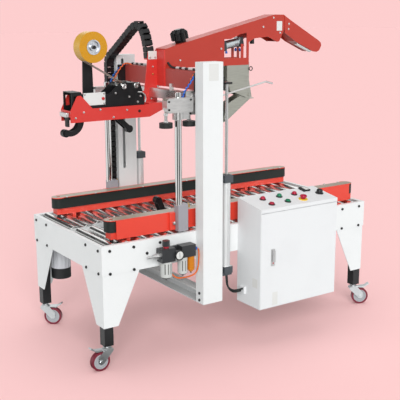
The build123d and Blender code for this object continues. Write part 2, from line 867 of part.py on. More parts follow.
def upper_cartridge():
    """Dark upper cartridge: two plates that rise to the guide rollers, and a box at the end."""
    low = tape_frame_bottom + 6
    box_top = tape_frame_top + 86
    box_left = tape_left + 11
    plate = outline([
        (box_left, low),
        (-430.0, low),
        (-430.0, tape_frame_top + 47),
        (-456.0, tape_frame_top + 120),
        (-576.0, tape_frame_top + 120),
        (-640.0, tape_frame_top + 66),
        (-786.0, tape_frame_top + 62),
        (-798.0, box_top),
        (box_left, box_top),
    ])
    plate -= rectangle(box_left + 12, -818.0, tape_frame_top + 14, box_top - 20)
    head = cartridge_plates(plate, upper_near, upper_far)
    lid = rectangle(box_left, -798.0, box_top - cartridge_sheet, box_top)
    head += along_y(lid, upper_near, upper_far)
    near, far = -tape_frame_near + tape_frame_sheet, tape_frame_far - tape_frame_sheet
    for x, rise in ((-700.0, -215.0), (-645.0, -215.0), (-445.0, -203.0)):
        head += hex_y(x, crossbeam_top + rise, spacer_radius, near, far)
    for x, z in raised([upper_outfeed_pivot, upper_infeed_pivot, *guide_roller_places]):
        head += rod_y(x, z, arm_pin_radius, upper_near, upper_far)
    return head


def tape_guides():
    """Two bright rollers on the upper cartridge that lead the tape down from its roll."""
    solids = []
    gap = cartridge_sheet + 2
    for x, z in raised(guide_roller_places):
        ring = Pos(x, z) * (Circle(guide_roller_radius) - Circle(arm_pin_radius + rod_gap))
        solids.append(along_y(ring, upper_near + gap, upper_far - gap))
    return solids


def lower_cartridge():
    """Dark lower cartridge in the gap of the bed, held by four pins in the centre rails."""
    high = table_height - lower_head_top
    low = table_height - lower_head_bottom
    plate = outline([
        (lower_left, low + 60),
        (lower_left + 60, low),
        (lower_right - 40, low),
        (lower_right, low + 40),
        (lower_right, high),
        (lower_left, high),
    ])
    head = cartridge_plates(plate, -lower_half, lower_half)
    for x in (lower_left + 40, lower_right - 180, lower_right - 60):
        head += hex_y(x, low + 70, spacer_radius, -lower_half, lower_half)
    for x, z in (from_table(lower_outfeed_pivot), from_table(lower_infeed_pivot)):
        head += rod_y(x, z, arm_pin_radius, -lower_half, lower_half)
    seat_z = table_height - lower_seat_drop
    for x in (lower_left + 10, lower_right - 10):
        head += hex_y(x, seat_z, arm_pin_radius, -head_gap / 2, -lower_half)
        head += hex_y(x, seat_z, arm_pin_radius, lower_half, head_gap / 2)
    return head


def press_arm(pivot, tip, width, half, bulge=0.0):
    """A press arm: two plates on a pivot, bent by the bulge to the right of the line to the tip,
    with the axle of its roller, and the roller."""
    start, end = Vector(*pivot), Vector(*tip)
    way = (end - start).normalized()
    if bulge:
        middle = (start + end) / 2 + Vector(-way.Y, way.X) * bulge
        bar = SlotArc(ThreePointArc(start, middle, end), width)
    else:
        turn = math.degrees(math.atan2(way.Y, way.X))
        bar = SlotCenterToCenter((end - start).length, width)
        bar = Pos((pivot[0] + tip[0]) / 2, (pivot[1] + tip[1]) / 2) * (Rot(0, 0, turn) * bar)
    bar -= Pos(*pivot) * Circle(arm_pin_radius + rod_gap)
    arm = along_y(bar, -half, -half + arm_plate) + along_y(bar, half - arm_plate, half)
    arm += rod_y(tip[0], tip[1], axle_radius, -half, half)
    roller = Pos(*tip) * (Circle(press_roller_radius) - Circle(axle_radius + stem_gap))
    return [arm, along_y(roller, -half + arm_plate + 1, half - arm_plate - 1)]


def roll_holder():
    """Black bar that stands on the tape frame's far side and carries the spindle of the roll."""
    y = tape_frame_far
    bar = outline([
        (tape_roll_x - 33, tape_frame_top - 30),
        (tape_roll_x + 33, tape_frame_top - 30),
        (tape_roll_x + 24, tape_roll_z + 16),
        (tape_roll_x - 24, tape_roll_z + 16),
    ])
    holder = along_y(bar, y, y + holder_thickness)
    return holder + rod_y(tape_roll_x, tape_roll_z, spindle_radius, -tape_width / 2 - 12, y)


def roll_hub():
    """Hub of the roll: a drum on the spindle that fills the core of the tape."""
    face = Circle(core_radius) - Circle(spindle_radius + rod_gap)
    hub = along_y(face, -tape_width / 2 - 3, tape_width / 2)
    recess = Circle(core_radius - 6) - Circle(spindle_radius + 8)
    hub -= along_y(recess, -tape_width / 2 - 3, -tape_width / 2 + 8)
    return Pos(tape_roll_x, 0, tape_roll_z) * hub


def tape_roll():
    """Roll of tape round its hub."""
    ring = Pos(tape_roll_x, tape_roll_z) * (Circle(tape_roll_radius) - Circle(core_radius + core_gap))
    return along_y(ring, -tape_width / 2, tape_width / 2)


def belt_loop(radius, inner):
    """The outline of the belt round its two pulleys, as a flat face."""
    length = idler_pulley_x - drive_pulley_x
    middle = (idler_pulley_x + drive_pulley_x) / 2
    loop = SlotCenterToCenter(length, 2 * radius) - SlotCenterToCenter(length, 2 * inner)
    return Pos(middle, -pulley_y) * loop


def drive_housing():
    """Red housing of the near belt drive: a folded channel with a round lid and a foot at each
    end, its idler pulley, and the bushes on the guide bars."""
    outer = -drive_outer
    inner = -pulley_y + pulley_radius - drive_sheet
    line = [
        (inner, drive_top),
        (outer, drive_top),
        (outer, drive_bottom),
        (inner, drive_bottom),
        (inner, drive_base),
    ]
    section = strip(line, drive_sheet)
    section += rectangle(outer + 1, inner - 1, drive_base - drive_sheet, drive_base)
    housing = along_x(section, drive_pulley_x + 6, idler_pulley_x - 6)
    lid = Circle(pulley_radius + belt_thickness)
    for x in (drive_pulley_x, idler_pulley_x):
        housing += along_z(Pos(x, -pulley_y) * lid, drive_top - drive_sheet, drive_top)
        foot = rectangle(x - drive_foot_half, x + drive_foot_half, outer + 12, inner - 6)
        housing += along_z(foot, drive_bottom, drive_base)
    housing += rod_z(idler_pulley_x, -pulley_y, drive_shaft_radius, drive_base - drive_sheet, drive_top)
    housing += rod_z(idler_pulley_x, -pulley_y, pulley_radius - pulley_gap, belt_low, belt_low + belt_height)
    housing -= rod_z(drive_pulley_x, -pulley_y, drive_shaft_radius + rod_gap, drive_bottom, drive_top)
    for x in guide_bar_places:
        low, high = -pulley_y - guide_bush_half, -pulley_y + guide_bush_half
        housing += rod_y(x, guide_bar_z, guide_bush_radius, low, high)
        post = rectangle(x - 10, x + 10, low + 5, high - 5)
        housing += along_z(post, guide_bar_z, drive_bottom + 1)
        housing -= rod_y(x, guide_bar_z, guide_bar_radius + rod_gap, low - 1, high + 1)
    return housing


def drive_belt():
    """Black belt round the two pulleys of the near drive, as one fixed loop."""
    return along_z(belt_loop(pulley_radius + belt_thickness, pulley_radius), belt_low, belt_low + belt_height)


def drive_motor():
    """Finned motor of the near drive with its fan cap, hung under the bed. Its shaft passes
    between two rollers to the pulley."""
    fins = Circle(motor_radius)
    for place in range(motor_fin_count):
        fin = Pos(motor_radius, 0) * Rectangle(2 * motor_fin, 4)
        fins += Rot(0, 0, place * 360 / motor_fin_count) * fin
    cap_top = motor_bottom + motor_cap_height
    body = along_z(Pos(drive_pulley_x, -pulley_y) * fins, cap_top, motor_top - 14)
    body += rod_z(drive_pulley_x, -pulley_y, motor_radius + motor_fin, motor_bottom, cap_top)
    body += rod_z(drive_pulley_x, -pulley_y, motor_radius + motor_fin, motor_top - 14, motor_top)
    body += rod_z(drive_pulley_x, -pulley_y, drive_shaft_radius, motor_top, belt_low)
    pulley_top = belt_low + belt_height
    return body + rod_z(drive_pulley_x, -pulley_y, pulley_radius - pulley_gap, belt_low, pulley_top)


def guide_bars():
    """Two round bars across the bed that guide both belt drives."""
    return [
        rod_y(x, guide_bar_z, guide_bar_radius, -wall_at(x), wall_at(x)) for x in guide_bar_places
    ]


def press_rod():
    """Bright rod of the near press, standing in a grey block on the near housing."""
    block = rectangle(press_rod_x - 14, press_rod_x + 46, -press_rod_y - 19, -drive_outer)
    body = along_z(block, drive_bottom - 2, drive_bottom - 2 + rod_block_height)
    return body + rod_z(press_rod_x, -press_rod_y, press_rod_radius, drive_bottom, press_rod_top)


def press_carriage():
    """Near press: a slotted bracket with the stems of two wheels, a clamp on the bright rod, a
    slide on the guide rail and a bent flap bar."""
    low, high = crossbeam_top - 193, crossbeam_top - 119
    left, right = press_rod_x - 83, press_rod_x + 72
    bracket = outline([
        (left + 14, low),
        (right, low),
        (right, high),
        (left + 10, high),
        (left, high - 12),
        (left, low + 26),
    ])
    body = along_y(bracket, -press_rod_y - 30, -press_rod_y + 16)
    slot = rectangle(left + 16, press_rod_x - 24, -press_rod_y - 15, -press_rod_y - 1)
    body -= along_z(slot, high - 30, high)
    clamp = Circle(29) + rectangle(0, 52, -24, 24)
    body += along_z(Pos(press_rod_x, -press_rod_y) * clamp, low - 36, low)
    body -= rod_z(press_rod_x, -press_rod_y, press_rod_radius + rod_gap, low - 36, high)
    slide = rectangle(press_rod_x + 40, rail_right + 8, low - 18, rail_top + 12)
    slide -= rectangle(
        rail_left - rod_gap, rail_right + rod_gap, rail_top - guide_rail_height - rod_gap, rail_top + rod_gap
    )
    body += along_y(slide, -crossbeam_end + carriage_plate + carriage_gap, -press_rod_y + 24)
    for offset in press_wheel_offsets:
        body += rod_z(press_rod_x + offset, -press_wheel_y, stem_radius, press_wheel_z, low)
    start = Vector(press_rod_x + 86, -press_rod_y + 23, crossbeam_top - 175)
    points = [
        start,
        Vector(start.X, flap_bar_y, start.Z),
        Vector(180, flap_bar_y, crossbeam_top - 73),
        Vector(226, flap_bar_y, crossbeam_top - 85),
    ]
    line = FilletPolyline(*points, radius=12)
    bar = sweep(Plane(origin=line @ 0, z_dir=line % 0) * RegularPolygon(flap_bar_radius, 8), path=line)
    return body + bar


def press_wheels():
    """Two rubber wheels under the near press."""
    solids = []
    for offset in press_wheel_offsets:
        ring = Circle(press_wheel_radius) - Circle(stem_radius + stem_gap)
        place = Pos(press_rod_x + offset, -press_wheel_y)
        solids.append(along_z(place * ring, press_wheel_z, press_wheel_z + press_wheel_height))
    return solids


def cabinet_shell():
    """Cabinet: a sheet box open at the front, with a top that slopes down to the front, and the
    gland for the cables in its outfeed side."""
    back = -half_width
    front = back - cabinet_depth
    back_top = cabinet_bottom + cabinet_back_height
    front_top = cabinet_bottom + cabinet_front_height
    rebate = front + door_sheet + door_gap
    side = outline([
        (rebate, cabinet_bottom),
        (back, cabinet_bottom),
        (back, back_top),
        (front, front_top),
        (front, front_top - cabinet_lip),
        (rebate, front_top - cabinet_lip),
    ])
    hollow = outline([
        (front - 20, cabinet_bottom + cabinet_sheet),
        (back - cabinet_sheet, cabinet_bottom + cabinet_sheet),
        (back - cabinet_sheet, back_top - cabinet_sheet - 1),
        (front + 10, front_top - cabinet_sheet - 1),
        (front + 10, front_top - cabinet_lip - 4),
        (front - 20, front_top - cabinet_lip - 4),
    ])
    right = cabinet_left + cabinet_width
    shell = along_x(side, cabinet_left, right)
    shell -= along_x(hollow, cabinet_left + cabinet_sheet, right - cabinet_sheet)
    half = gland_side / 2
    gland = rectangle(gland_y - half, gland_y + half, gland_z - half, gland_z + half)
    return shell + along_x(gland, cabinet_left - gland_thickness, cabinet_left)


def cabinet_door():
    """Cabinet door with its lever lock, hinged at its +X side."""
    front = -half_width - cabinet_depth
    left = cabinet_left + door_edge
    right = cabinet_left + cabinet_width - door_edge
    low = cabinet_bottom + 2 * door_edge
    high = cabinet_bottom + cabinet_front_height - cabinet_lip - 5
    door = along_y(rectangle(left, right, low, high), front, front + door_sheet)
    plate_left = cabinet_left + handle_inset
    plate_low = cabinet_bottom + handle_low
    plate_right, plate_high = plate_left + handle_width, plate_low + handle_height
    plate = rectangle(plate_left, plate_right, plate_low, plate_high)
    lever = rectangle(plate_left + 5, plate_right - 5, plate_low + 24, plate_high - 8)
    door += along_y(plate, front - 5, front)
    return door + along_y(lever, front - handle_depth, front - 5)


def panel_controls():
    """Lamps, buttons, meter and knob on the sloping top of the cabinet."""
    rise = cabinet_back_height - cabinet_front_height
    slope = math.degrees(math.atan2(rise, cabinet_depth))
    solids = []
    for x, y, radius, height in panel_layout:
        z = cabinet_bottom + cabinet_front_height + (y + cabinet_depth) / cabinet_depth * rise
        knob = extrude(RegularPolygon(radius, panel_sides), height + 2)
        place = Pos(cabinet_left + x, -half_width + y, z) * Rot(slope, 0, 0)
        solids.append(place * knob)
    return solids


def air_unit_body():
    """Filter, regulator with its gauge and knob, and oiler, on a plate on the near bed side."""
    filter_right = air_left + 78
    oiler_left = air_left + 119
    oiler_right = air_left + 202
    collar = air_left - 37
    body = along_x(Pos(air_y, air_z) * Rectangle(52, 70), air_left, filter_right)
    body += along_x(Pos(air_y, air_z + 4) * Rectangle(52, 62), oiler_left, oiler_right)
    body += rod_x(air_y, air_z, 14, filter_right, oiler_left)
    body += rod_x(air_y, air_z, 12, collar, air_left - 18)
    body += along_x(Pos(air_y, air_z) * RegularPolygon(17, 6), air_left - 18, air_left)
    body += rod_x(air_y, air_z, inlet_radius, collar - inlet_length, collar)
    plate = rectangle(air_left + 8, air_left + 183, air_z - 23, air_z + 27)
    body += along_y(plate, -half_width - air_stand + 26, -half_width)
    knob_x_place = air_left + 39
    body += rod_z(knob_x_place, air_y, 14, air_z + 35, air_z + 44)
    body += along_z(Pos(knob_x_place, air_y) * RegularPolygon(19, 12), air_z + 44, air_z + 74)
    gauge_x = (filter_right + oiler_left) / 2
    body += rod_y(gauge_x, air_z - 6, 23, air_y - 34, air_y - 12)
    return body


def air_unit_bowls():
    """The three bowls under the air unit, each with its drain."""
    solids = []
    low_of_filter = air_z - 35 - door_gap
    low_of_oiler = air_z - 27 - door_gap
    bowls = (
        (air_left + 39, 30, low_of_filter, 80.0),
        (air_left + 137, 26, low_of_oiler, 84.0),
        (air_left + 187, 20, low_of_oiler, 76.0),
    )
    for x, radius, top, length in bowls:
        bowl = rod_z(x, air_y, radius, top - length, top)
        bowl += rod_z(x, air_y, radius - 8, top - length - 8, top - length)
        solids.append(bowl + rod_z(x, air_y, 5, top - length - 18, top - length - 8))
    return solids


def chain_link_solid():
    """One link about its middle, along Z: two side plates with cut corners and two cross bars."""
    half = (chain_link - chain_link_gap) / 2
    deep = chain_thickness / 2
    cut = 9.0
    plate = outline([
        (-deep + cut, -half), (deep - cut, -half), (deep, -half + cut), (deep, half - cut),
        (deep - cut, half), (-deep + cut, half), (-deep, half - cut), (-deep, -half + cut),
    ])
    side = chain_width / 2
    link = along_x(plate, -side, -side + chain_wall) + along_x(plate, side - chain_wall, side)
    for low in (-deep, deep - chain_wall / 2):
        link += along_x(rectangle(low, low + chain_wall / 2, -half + cut, half - cut), -side, side)
    return link


def chain_arch():
    """The upper stretch of the cable chain: links along an arch from beside the far column to
    the arm's gusset."""
    points = [
        (chain_x, chain_y, chain_split),
        (chain_x, chain_y, chain_split + 67),
        (-345.0, 215.0, crossbeam_top + 207),
        (-330.0, 120.0, crossbeam_top + 235),
        (chain_end_x, chain_end_y, crossbeam_top + 185),
        (chain_end_x, chain_end_y, chain_end_low),
    ]
    line = FilletPolyline(*points, radius=(60, 60, 60, 30))
    count = round(line.length / chain_link)
    link = scale(chain_link_solid(), (1, 1, line.length / count / chain_link))
    solids = []
    for place in range(count):
        start, end = line @ (place / count), line @ ((place + 1) / count)
        frame = Plane(origin=(start + end) / 2, z_dir=end - start, x_dir=(1, 0, 0))
        solids.append(frame.location * link)
    return solids


def chain_run():
    """The lower stretch of the chain, upright beside the far column."""
    run = rectangle(
        chain_x - chain_width / 2,
        chain_x + chain_width / 2,
        chain_y - chain_thickness / 2,
        chain_y + chain_thickness / 2,
    )
    return along_z(run, chain_anchor + chain_seat_gap, chain_split)


def build_pieces():
    """Every piece of the machine, as name and solids."""
    pieces = {}
    paired = {
        "bed_side": bed_side,
        "drive_housing": drive_housing,
        "drive_belt": drive_belt,
        "drive_motor": drive_motor,
        "press_rod": press_rod,
        "press_carriage": press_carriage,
    }
    for name, make in paired.items():
        near = make()
        pieces[name + "_near"] = [near]
        pieces[name + "_far"] = [other_side(near)]
    for name, make in {"rollers": roller_row, "press_wheels": press_wheels}.items():
        near = make()
        pieces[name + "_near"] = near
        pieces[name + "_far"] = [other_side(solid) for solid in near]
    pieces["end_plates"] = [end_plate(), other_end(end_plate())]
    for name, near in {"legs": leg(), "leg_tubes": leg_tube()}.items():
        outfeed = [near, other_side(near)]
        pieces[name] = outfeed + [other_end(solid) for solid in outfeed]
    fork, wheel = caster_fork(), caster_wheel()
    for place, (x, y, angle) in caster_places.items():
        move = Pos(x, y, 0) * Rot(0, 0, angle)
        pieces[f"caster_fork_{place}"] = [move * fork]
        pieces[f"caster_wheel_{place}"] = [move * wheel]
    pieces["under_frame"] = bearers() + centre_rails() + guide_bars() + [foot_beam()]
    pieces["mast_columns"] = [column(), far_column()]
    pieces["lift_cylinders"] = [lift_cylinder(), other_side(lift_cylinder())]
    pieces["lift_rods"] = [lift_rod(), other_side(lift_rod())]
    pieces["cylinder_cables"] = cylinder_cables()
    pieces["carriages"] = [carriage(), other_side(carriage())]
    pieces["crossbeam"] = [crossbeam()]
    pieces["guide_rail"] = [guide_rail()]
    pieces["arm_housing"] = [arm_housing()]
    pieces["arm_post"] = [arm_post()]
    pieces["arm_nose"] = [arm_nose()]
    pieces["star_knob"] = [star_knob()]
    pieces["kicker_cylinder"] = [kicker_cylinder()]
    pieces["kicker_bracket"] = [kicker_bracket()]
    pieces["kicker_blade"] = [kicker_blade()]
    pieces["tape_frame"] = [tape_frame()]
    pieces["upper_cartridge"] = [upper_cartridge()]
    pieces["tape_guides"] = tape_guides()
    pieces["lower_cartridge"] = [lower_cartridge()]
    upper = [raised([pair])[0] for pair in (
        upper_outfeed_pivot, upper_outfeed_tip, upper_infeed_pivot, upper_infeed_tip
    )]
    lower = [from_table(pair) for pair in (
        lower_infeed_pivot, lower_infeed_tip, lower_outfeed_pivot, lower_outfeed_tip
    )]
    pieces["upper_outfeed_arm"] = press_arm(upper[0], upper[1], 26, upper_arm_half, 34)
    pieces["upper_infeed_arm"] = press_arm(upper[2], upper[3], 26, upper_arm_half)
    pieces["lower_infeed_arm"] = press_arm(lower[0], lower[1], 30, lower_arm_half)
    pieces["lower_outfeed_arm"] = press_arm(lower[2], lower[3], 26, lower_arm_half)
    pieces["roll_holder"] = [roll_holder()]
    pieces["roll_hub"] = [roll_hub()]
    pieces["tape_roll"] = [tape_roll()]
    pieces["cabinet_shell"] = [cabinet_shell()]
    pieces["cabinet_door"] = [cabinet_door()]
    pieces["panel_controls"] = panel_controls()
    pieces["air_unit"] = [air_unit_body()]
    pieces["air_bowls"] = air_unit_bowls()
    pieces["cable_chain_arch"] = chain_arch()
    pieces["cable_chain_run"] = [chain_run()]
    return pieces


def middle_of(pieces):
    """The point on the floor below the middle of the whole machine."""
    boxes = [solid.bounding_box() for solids in pieces.values() for solid in solids]
    x = (min(b.min.X for b in boxes) + max(b.max.X for b in boxes)) / 2
    y = (min(b.min.Y for b in boxes) + max(b.max.Y for b in boxes)) / 2
    return Vector(x, y, 0)


pieces = build_pieces()
middle = middle_of(pieces)
print("middle of the machine from the middle of the bed:", middle.X, middle.Y)
os.makedirs("parts", exist_ok=True)
for name, solids in pieces.items():
    moved = [Pos(-middle) * solid for group in solids for solid in group.solids()]
    shape = moved[0] if len(moved) == 1 else Compound(children=moved)
    export_step(shape, f"parts/{name}.step")
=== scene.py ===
import math

import bpy
import numpy as np
from mathutils import Matrix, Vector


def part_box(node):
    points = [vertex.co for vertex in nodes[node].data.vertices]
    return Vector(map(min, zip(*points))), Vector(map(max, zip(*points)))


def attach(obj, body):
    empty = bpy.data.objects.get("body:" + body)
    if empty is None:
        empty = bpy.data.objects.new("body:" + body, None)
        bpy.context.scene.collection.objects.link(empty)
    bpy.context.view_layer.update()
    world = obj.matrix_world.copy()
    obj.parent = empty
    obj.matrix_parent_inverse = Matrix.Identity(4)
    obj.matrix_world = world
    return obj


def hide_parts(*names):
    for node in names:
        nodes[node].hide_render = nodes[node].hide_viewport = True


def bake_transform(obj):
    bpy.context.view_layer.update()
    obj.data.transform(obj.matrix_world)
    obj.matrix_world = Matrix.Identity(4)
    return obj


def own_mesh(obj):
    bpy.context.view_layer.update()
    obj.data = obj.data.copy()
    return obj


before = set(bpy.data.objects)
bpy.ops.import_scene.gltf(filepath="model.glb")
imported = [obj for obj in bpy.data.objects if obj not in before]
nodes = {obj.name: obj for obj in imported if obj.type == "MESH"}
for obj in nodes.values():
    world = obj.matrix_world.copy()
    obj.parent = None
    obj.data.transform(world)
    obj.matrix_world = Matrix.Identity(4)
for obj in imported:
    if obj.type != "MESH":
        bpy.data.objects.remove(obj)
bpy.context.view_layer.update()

# Studio
# A plain pale floor that runs on as the backdrop, a broad soft sun in front of the machine and a
# weak one above it. Bare metal mirrors bright and dark panels round the machine. The camera stands
# where it stood for the photograph.
camera_place = (-2656.1, -3886.6, 1772.7)
camera_turn = 34.05
camera_pitch = 12.906
camera_roll = -0.133
focal_pixels = 830.28
frame_pixels = 400
floor_pink = (0.985, 0.62, 0.62, 1.0)
floor_grey = (0.6, 0.6, 0.6, 1.0)
floor_reach = 60.0
ambient = 0.5
panel_waves = 6.5
panel_dark = 0.05

plate_low, plate_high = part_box("end_plates")
bed_middle = np.array([(plate_low.x + plate_high.x) / 2, (plate_low.y + plate_high.y) / 2, 0.0])


def at(places):
    """Places in millimetres from the middle of the bed and the floor, in metres in the frame."""
    return bed_middle + np.asarray(places, float) / 1000


class Socket:
    """A shader output. Arithmetic on it adds Math nodes, also with a number on either side."""

    def __init__(self, shading, out):
        self.shading = shading
        self.out = out

    def join(self, operation, first, second):
        return self.shading.node("ShaderNodeMath", {"operation": operation}, {0: first, 1: second})

    def __add__(self, other):
        return self.join("ADD", self, other)

    def __radd__(self, other):
        return self.join("ADD", other, self)

    def __sub__(self, other):
        return self.join("SUBTRACT", self, other)

    def __rsub__(self, other):
        return self.join("SUBTRACT", other, self)

    def __mul__(self, other):
        return self.join("MULTIPLY", self, other)

    def __rmul__(self, other):
        return self.join("MULTIPLY", other, self)

    def __gt__(self, edge):
        return self.join("GREATER_THAN", self, edge)

    def __lt__(self, edge):
        return self.join("LESS_THAN", self, edge)


class Shading:
    """A node tree under construction."""

    def __init__(self, tree):
        self.tree = tree

    def node(self, kind, settings, inputs, out=0):
        """Adds a node: its settings first, then the values or links of its sockets."""
        made = self.tree.nodes.new(kind)
        for key, value in settings.items():
            setattr(made, key, value)
        for key, value in inputs.items():
            self.feed(made.inputs[key], value)
        return Socket(self, made.outputs[out])

    def feed(self, socket, value):
        if isinstance(value, Socket):
            self.tree.links.new(value.out, socket)
        else:
            socket.default_value = value

    def wave(self, operation, angle):
        """The sine or cosine of an angle in radians, from -1 to 1."""
        return self.node("ShaderNodeMath", {"operation": operation}, {0: angle})

    def mix(self, share, first, second):
        """The second colour over the first, by share."""
        inputs = {0: share, 6: first, 7: second}
        return self.node("ShaderNodeMix", {"data_type": "RGBA"}, inputs, 2)


class Finish(Shading):
    """A material under construction: the Principled shader and the record's slot for it."""

    def __init__(self, name, slot=None):
        self.material = bpy.data.materials.new(name)
        self.material.use_nodes = True
        super().__init__(self.material.node_tree)
        self.shader = self.tree.nodes["Principled BSDF"]
        self.slot = slot

    def set(self, **inputs):
        """Feeds the shader: the words of a socket's name are joined by underscores."""
        for key, value in inputs.items():
            self.feed(self.shader.inputs[key.replace("_", " ")], value)
        return self

    def place(self, scale=(1, 1, 1)):
        """Object coordinates, stretched by scale."""
        where = self.node("ShaderNodeTexCoord", {}, {}, "Object")
        return self.node("ShaderNodeMapping", {}, {"Vector": where, "Scale": scale})

    def along(self, axis):
        """The object coordinate along one axis, in millimetres from the middle of the bed."""
        metres = self.node("ShaderNodeSeparateXYZ", {}, {0: self.place()}, axis)
        return (metres - bed_middle["XYZ".index(axis)]) * 1000

    def noise(self, size, detail=3.0, scale=(1, 1, 1)):
        """Cloudy noise from 0 to 1 whose blobs are about size metres across."""
        inputs = {"Vector": self.place(scale), "Scale": 1 / size, "Detail": detail}
        return self.node("ShaderNodeTexNoise", {}, inputs, "Fac")

    def spread(self, value, low, high):
        """A mask that goes smoothly from 0 at low to 1 at high."""
        inputs = {"Value": value, "From Min": low, "From Max": high}
        return self.node("ShaderNodeMapRange", {"interpolation_type": "SMOOTHSTEP"}, inputs)

    def away(self, centre):
        """Distance in millimetres from a centre in millimetres of the bed."""
        inputs = {0: self.place(), 1: tuple(at(centre))}
        return self.node("ShaderNodeVectorMath", {"operation": "DISTANCE"}, inputs, "Value") * 1000

    def bump(self, height, depth):
        """A normal from a height of 0 to 1 that stands depth metres proud."""
        inputs = {"Height": height, "Distance": depth, "Strength": 0.6}
        return self.node("ShaderNodeBump", {}, inputs)


world = bpy.data.worlds.new("studio")
bpy.context.scene.world = world
world.use_nodes = True
sky = Shading(world.node_tree)
ray_kinds = ("Camera", "Transmission", "Glossy")
seen = [sky.node("ShaderNodeLightPath", {}, {}, f"Is {kind} Ray") for kind in ray_kinds]
soft_light = sky.node("ShaderNodeBackground", {}, {"Color": (1, 1, 1, 1), "Strength": ambient})
backdrop = sky.node("ShaderNodeBackground", {}, {"Color": floor_pink, "Strength": 1.0})
surface = sky.node("ShaderNodeMixShader", {}, {0: seen[0] + seen[1], 1: soft_light, 2: backdrop})
where = sky.node("ShaderNodeTexCoord", {}, {}, "Generated")


def studio_panels(shading, where, bright):
    """Bright and dark studio panels by bearing: the cosine of a few turns across the view."""
    way = shading.node("ShaderNodeVectorMath", {"operation": "NORMALIZE"}, {0: where}, "Vector")
    bearing = [shading.node("ShaderNodeSeparateXYZ", {}, {0: way}, axis) for axis in "XYZ"]
    turn = math.radians(camera_turn)
    across = bearing[0] * math.cos(turn) - bearing[1] * math.sin(turn)
    angle = across * panel_waves + bearing[2] * 2.0
    wave = shading.wave("COSINE", angle)
    return shading.node("ShaderNodeMapRange", {"interpolation_type": "SMOOTHSTEP"}, {
        "Value": wave, "From Min": -0.45, "From Max": 0.7, "To Min": panel_dark, "To Max": bright,
    })


panels = studio_panels(sky, where, 1.2)
mirrored = sky.node("ShaderNodeBackground", {}, {"Color": (1, 1, 1, 1), "Strength": panels})
surface = sky.node("ShaderNodeMixShader", {}, {0: seen[2], 1: surface, 2: mirrored})
sky.feed(world.node_tree.nodes["World Output"].inputs["Surface"], surface)

floor_finish = Finish("floor")
seen_directly = floor_finish.node("ShaderNodeLightPath", {}, {}, "Is Camera Ray")
seen_mirrored = floor_finish.node("ShaderNodeLightPath", {}, {}, "Is Glossy Ray")
floor_panels = studio_panels(floor_finish, floor_finish.place(), 1.0)
floor_shade = floor_finish.mix(floor_panels, (0.03, 0.03, 0.03, 1), (0.9, 0.9, 0.9, 1))
floor_shade = floor_finish.mix(seen_mirrored, floor_grey, floor_shade)
floor_finish.set(Base_Color=floor_finish.mix(seen_directly, floor_shade, floor_pink))
floor_finish.set(Roughness=0.95, Specular_IOR_Level=0.0)
floor_mesh = bpy.data.meshes.new("floor")
reach = floor_reach
corners = [(-reach, -reach, 0), (reach, -reach, 0), (reach, reach, 0), (-reach, reach, 0)]
floor_mesh.from_pydata(corners, [], [(0, 1, 2, 3)])
floor_mesh.materials.append(floor_finish.material)
floor = bpy.data.objects.new("floor", floor_mesh)
bpy.context.scene.collection.objects.link(floor)


def sun(name, towards, energy, spread):
    """A soft sun whose light comes from the direction towards, as wide as spread degrees."""
    data = bpy.data.lights.new(name, "SUN")
    data.energy = energy
    data.angle = math.radians(spread)
    made = bpy.data.objects.new(name, data)
    bpy.context.scene.collection.objects.link(made)
    flat = math.hypot(towards[0], towards[1])
    made.rotation_euler = (math.atan2(flat, towards[2]), 0, math.atan2(towards[0], -towards[1]))


sun("front_sun", (-0.42, -0.80, 0.43), 2.2, 38)
sun("top_sun", (0.15, 0.2, 0.95), 0.66, 60)

camera_data = bpy.data.cameras.new("camera")
camera_data.sensor_width = 36.0
camera_data.lens = camera_data.sensor_width * focal_pixels / frame_pixels
camera = bpy.data.objects.new("camera", camera_data)
bpy.context.scene.collection.objects.link(camera)
turn = Matrix.Rotation(math.radians(-camera_turn), 4, "Z")
pitch = Matrix.Rotation(math.radians(90 - camera_pitch), 4, "X")
roll = Matrix.Rotation(math.radians(camera_roll), 4, "Z")
camera.matrix_world = Matrix.Translation(at(camera_place)) @ turn @ pitch @ roll
bpy.context.scene.camera = camera
bpy.context.scene.view_settings.view_transform = "Standard"

# Bed, legs and mast
# Folded sheet steel, powder coated white, with a faint orange peel and a little soil. The legs and
# the sides are held by black socket screws.
white = (0.83, 0.845, 0.845)
screw_radius = 7.5
bed_end = 885.0
bed_near = -410.0
column_front = -480.0
leg_screws = [(841, 624), (706, 624), (841, 507), (706, 507), (630, 579), (553, 623)]
end_screws = [(375, 624), (240, 624), (375, 507), (240, 507)]
foot_screws = [(-334, -445, 318), (-334, -445, 280)]


def rgba(colour, factor=1.0):
    """A colour with its alpha, brighter or darker by factor."""
    return tuple(min(1.0, part * factor) for part in colour) + (1.0,)


def powder_coat(name, slot, colour, roughness=0.38, soil=0.12):
    """Powder coat: cloudy soil and specks in its colour and gloss, and a fine orange peel."""
    coat = Finish(name, slot)
    cloud = coat.spread(coat.noise(0.16, 5.0), 0.42, 0.78)
    specks = coat.spread(coat.noise(0.012, 2.0), 0.66, 0.74)
    shade = coat.mix(cloud * soil, rgba(colour), rgba(colour, 0.72))
    coat.shade = coat.mix(specks * (soil * 0.7), shade, rgba(colour, 0.5))
    coat.set(Base_Color=coat.shade, Roughness=cloud * 0.1 + (specks * 0.08 + roughness))
    return coat.set(Normal=coat.bump(coat.noise(0.0028, 2.0), 0.00012))


def dress(finish, *names):
    """Puts a finish on CAD nodes."""
    for name in names:
        mesh = nodes[name].data
        mesh.materials.clear()
        mesh.materials.append(finish.material)


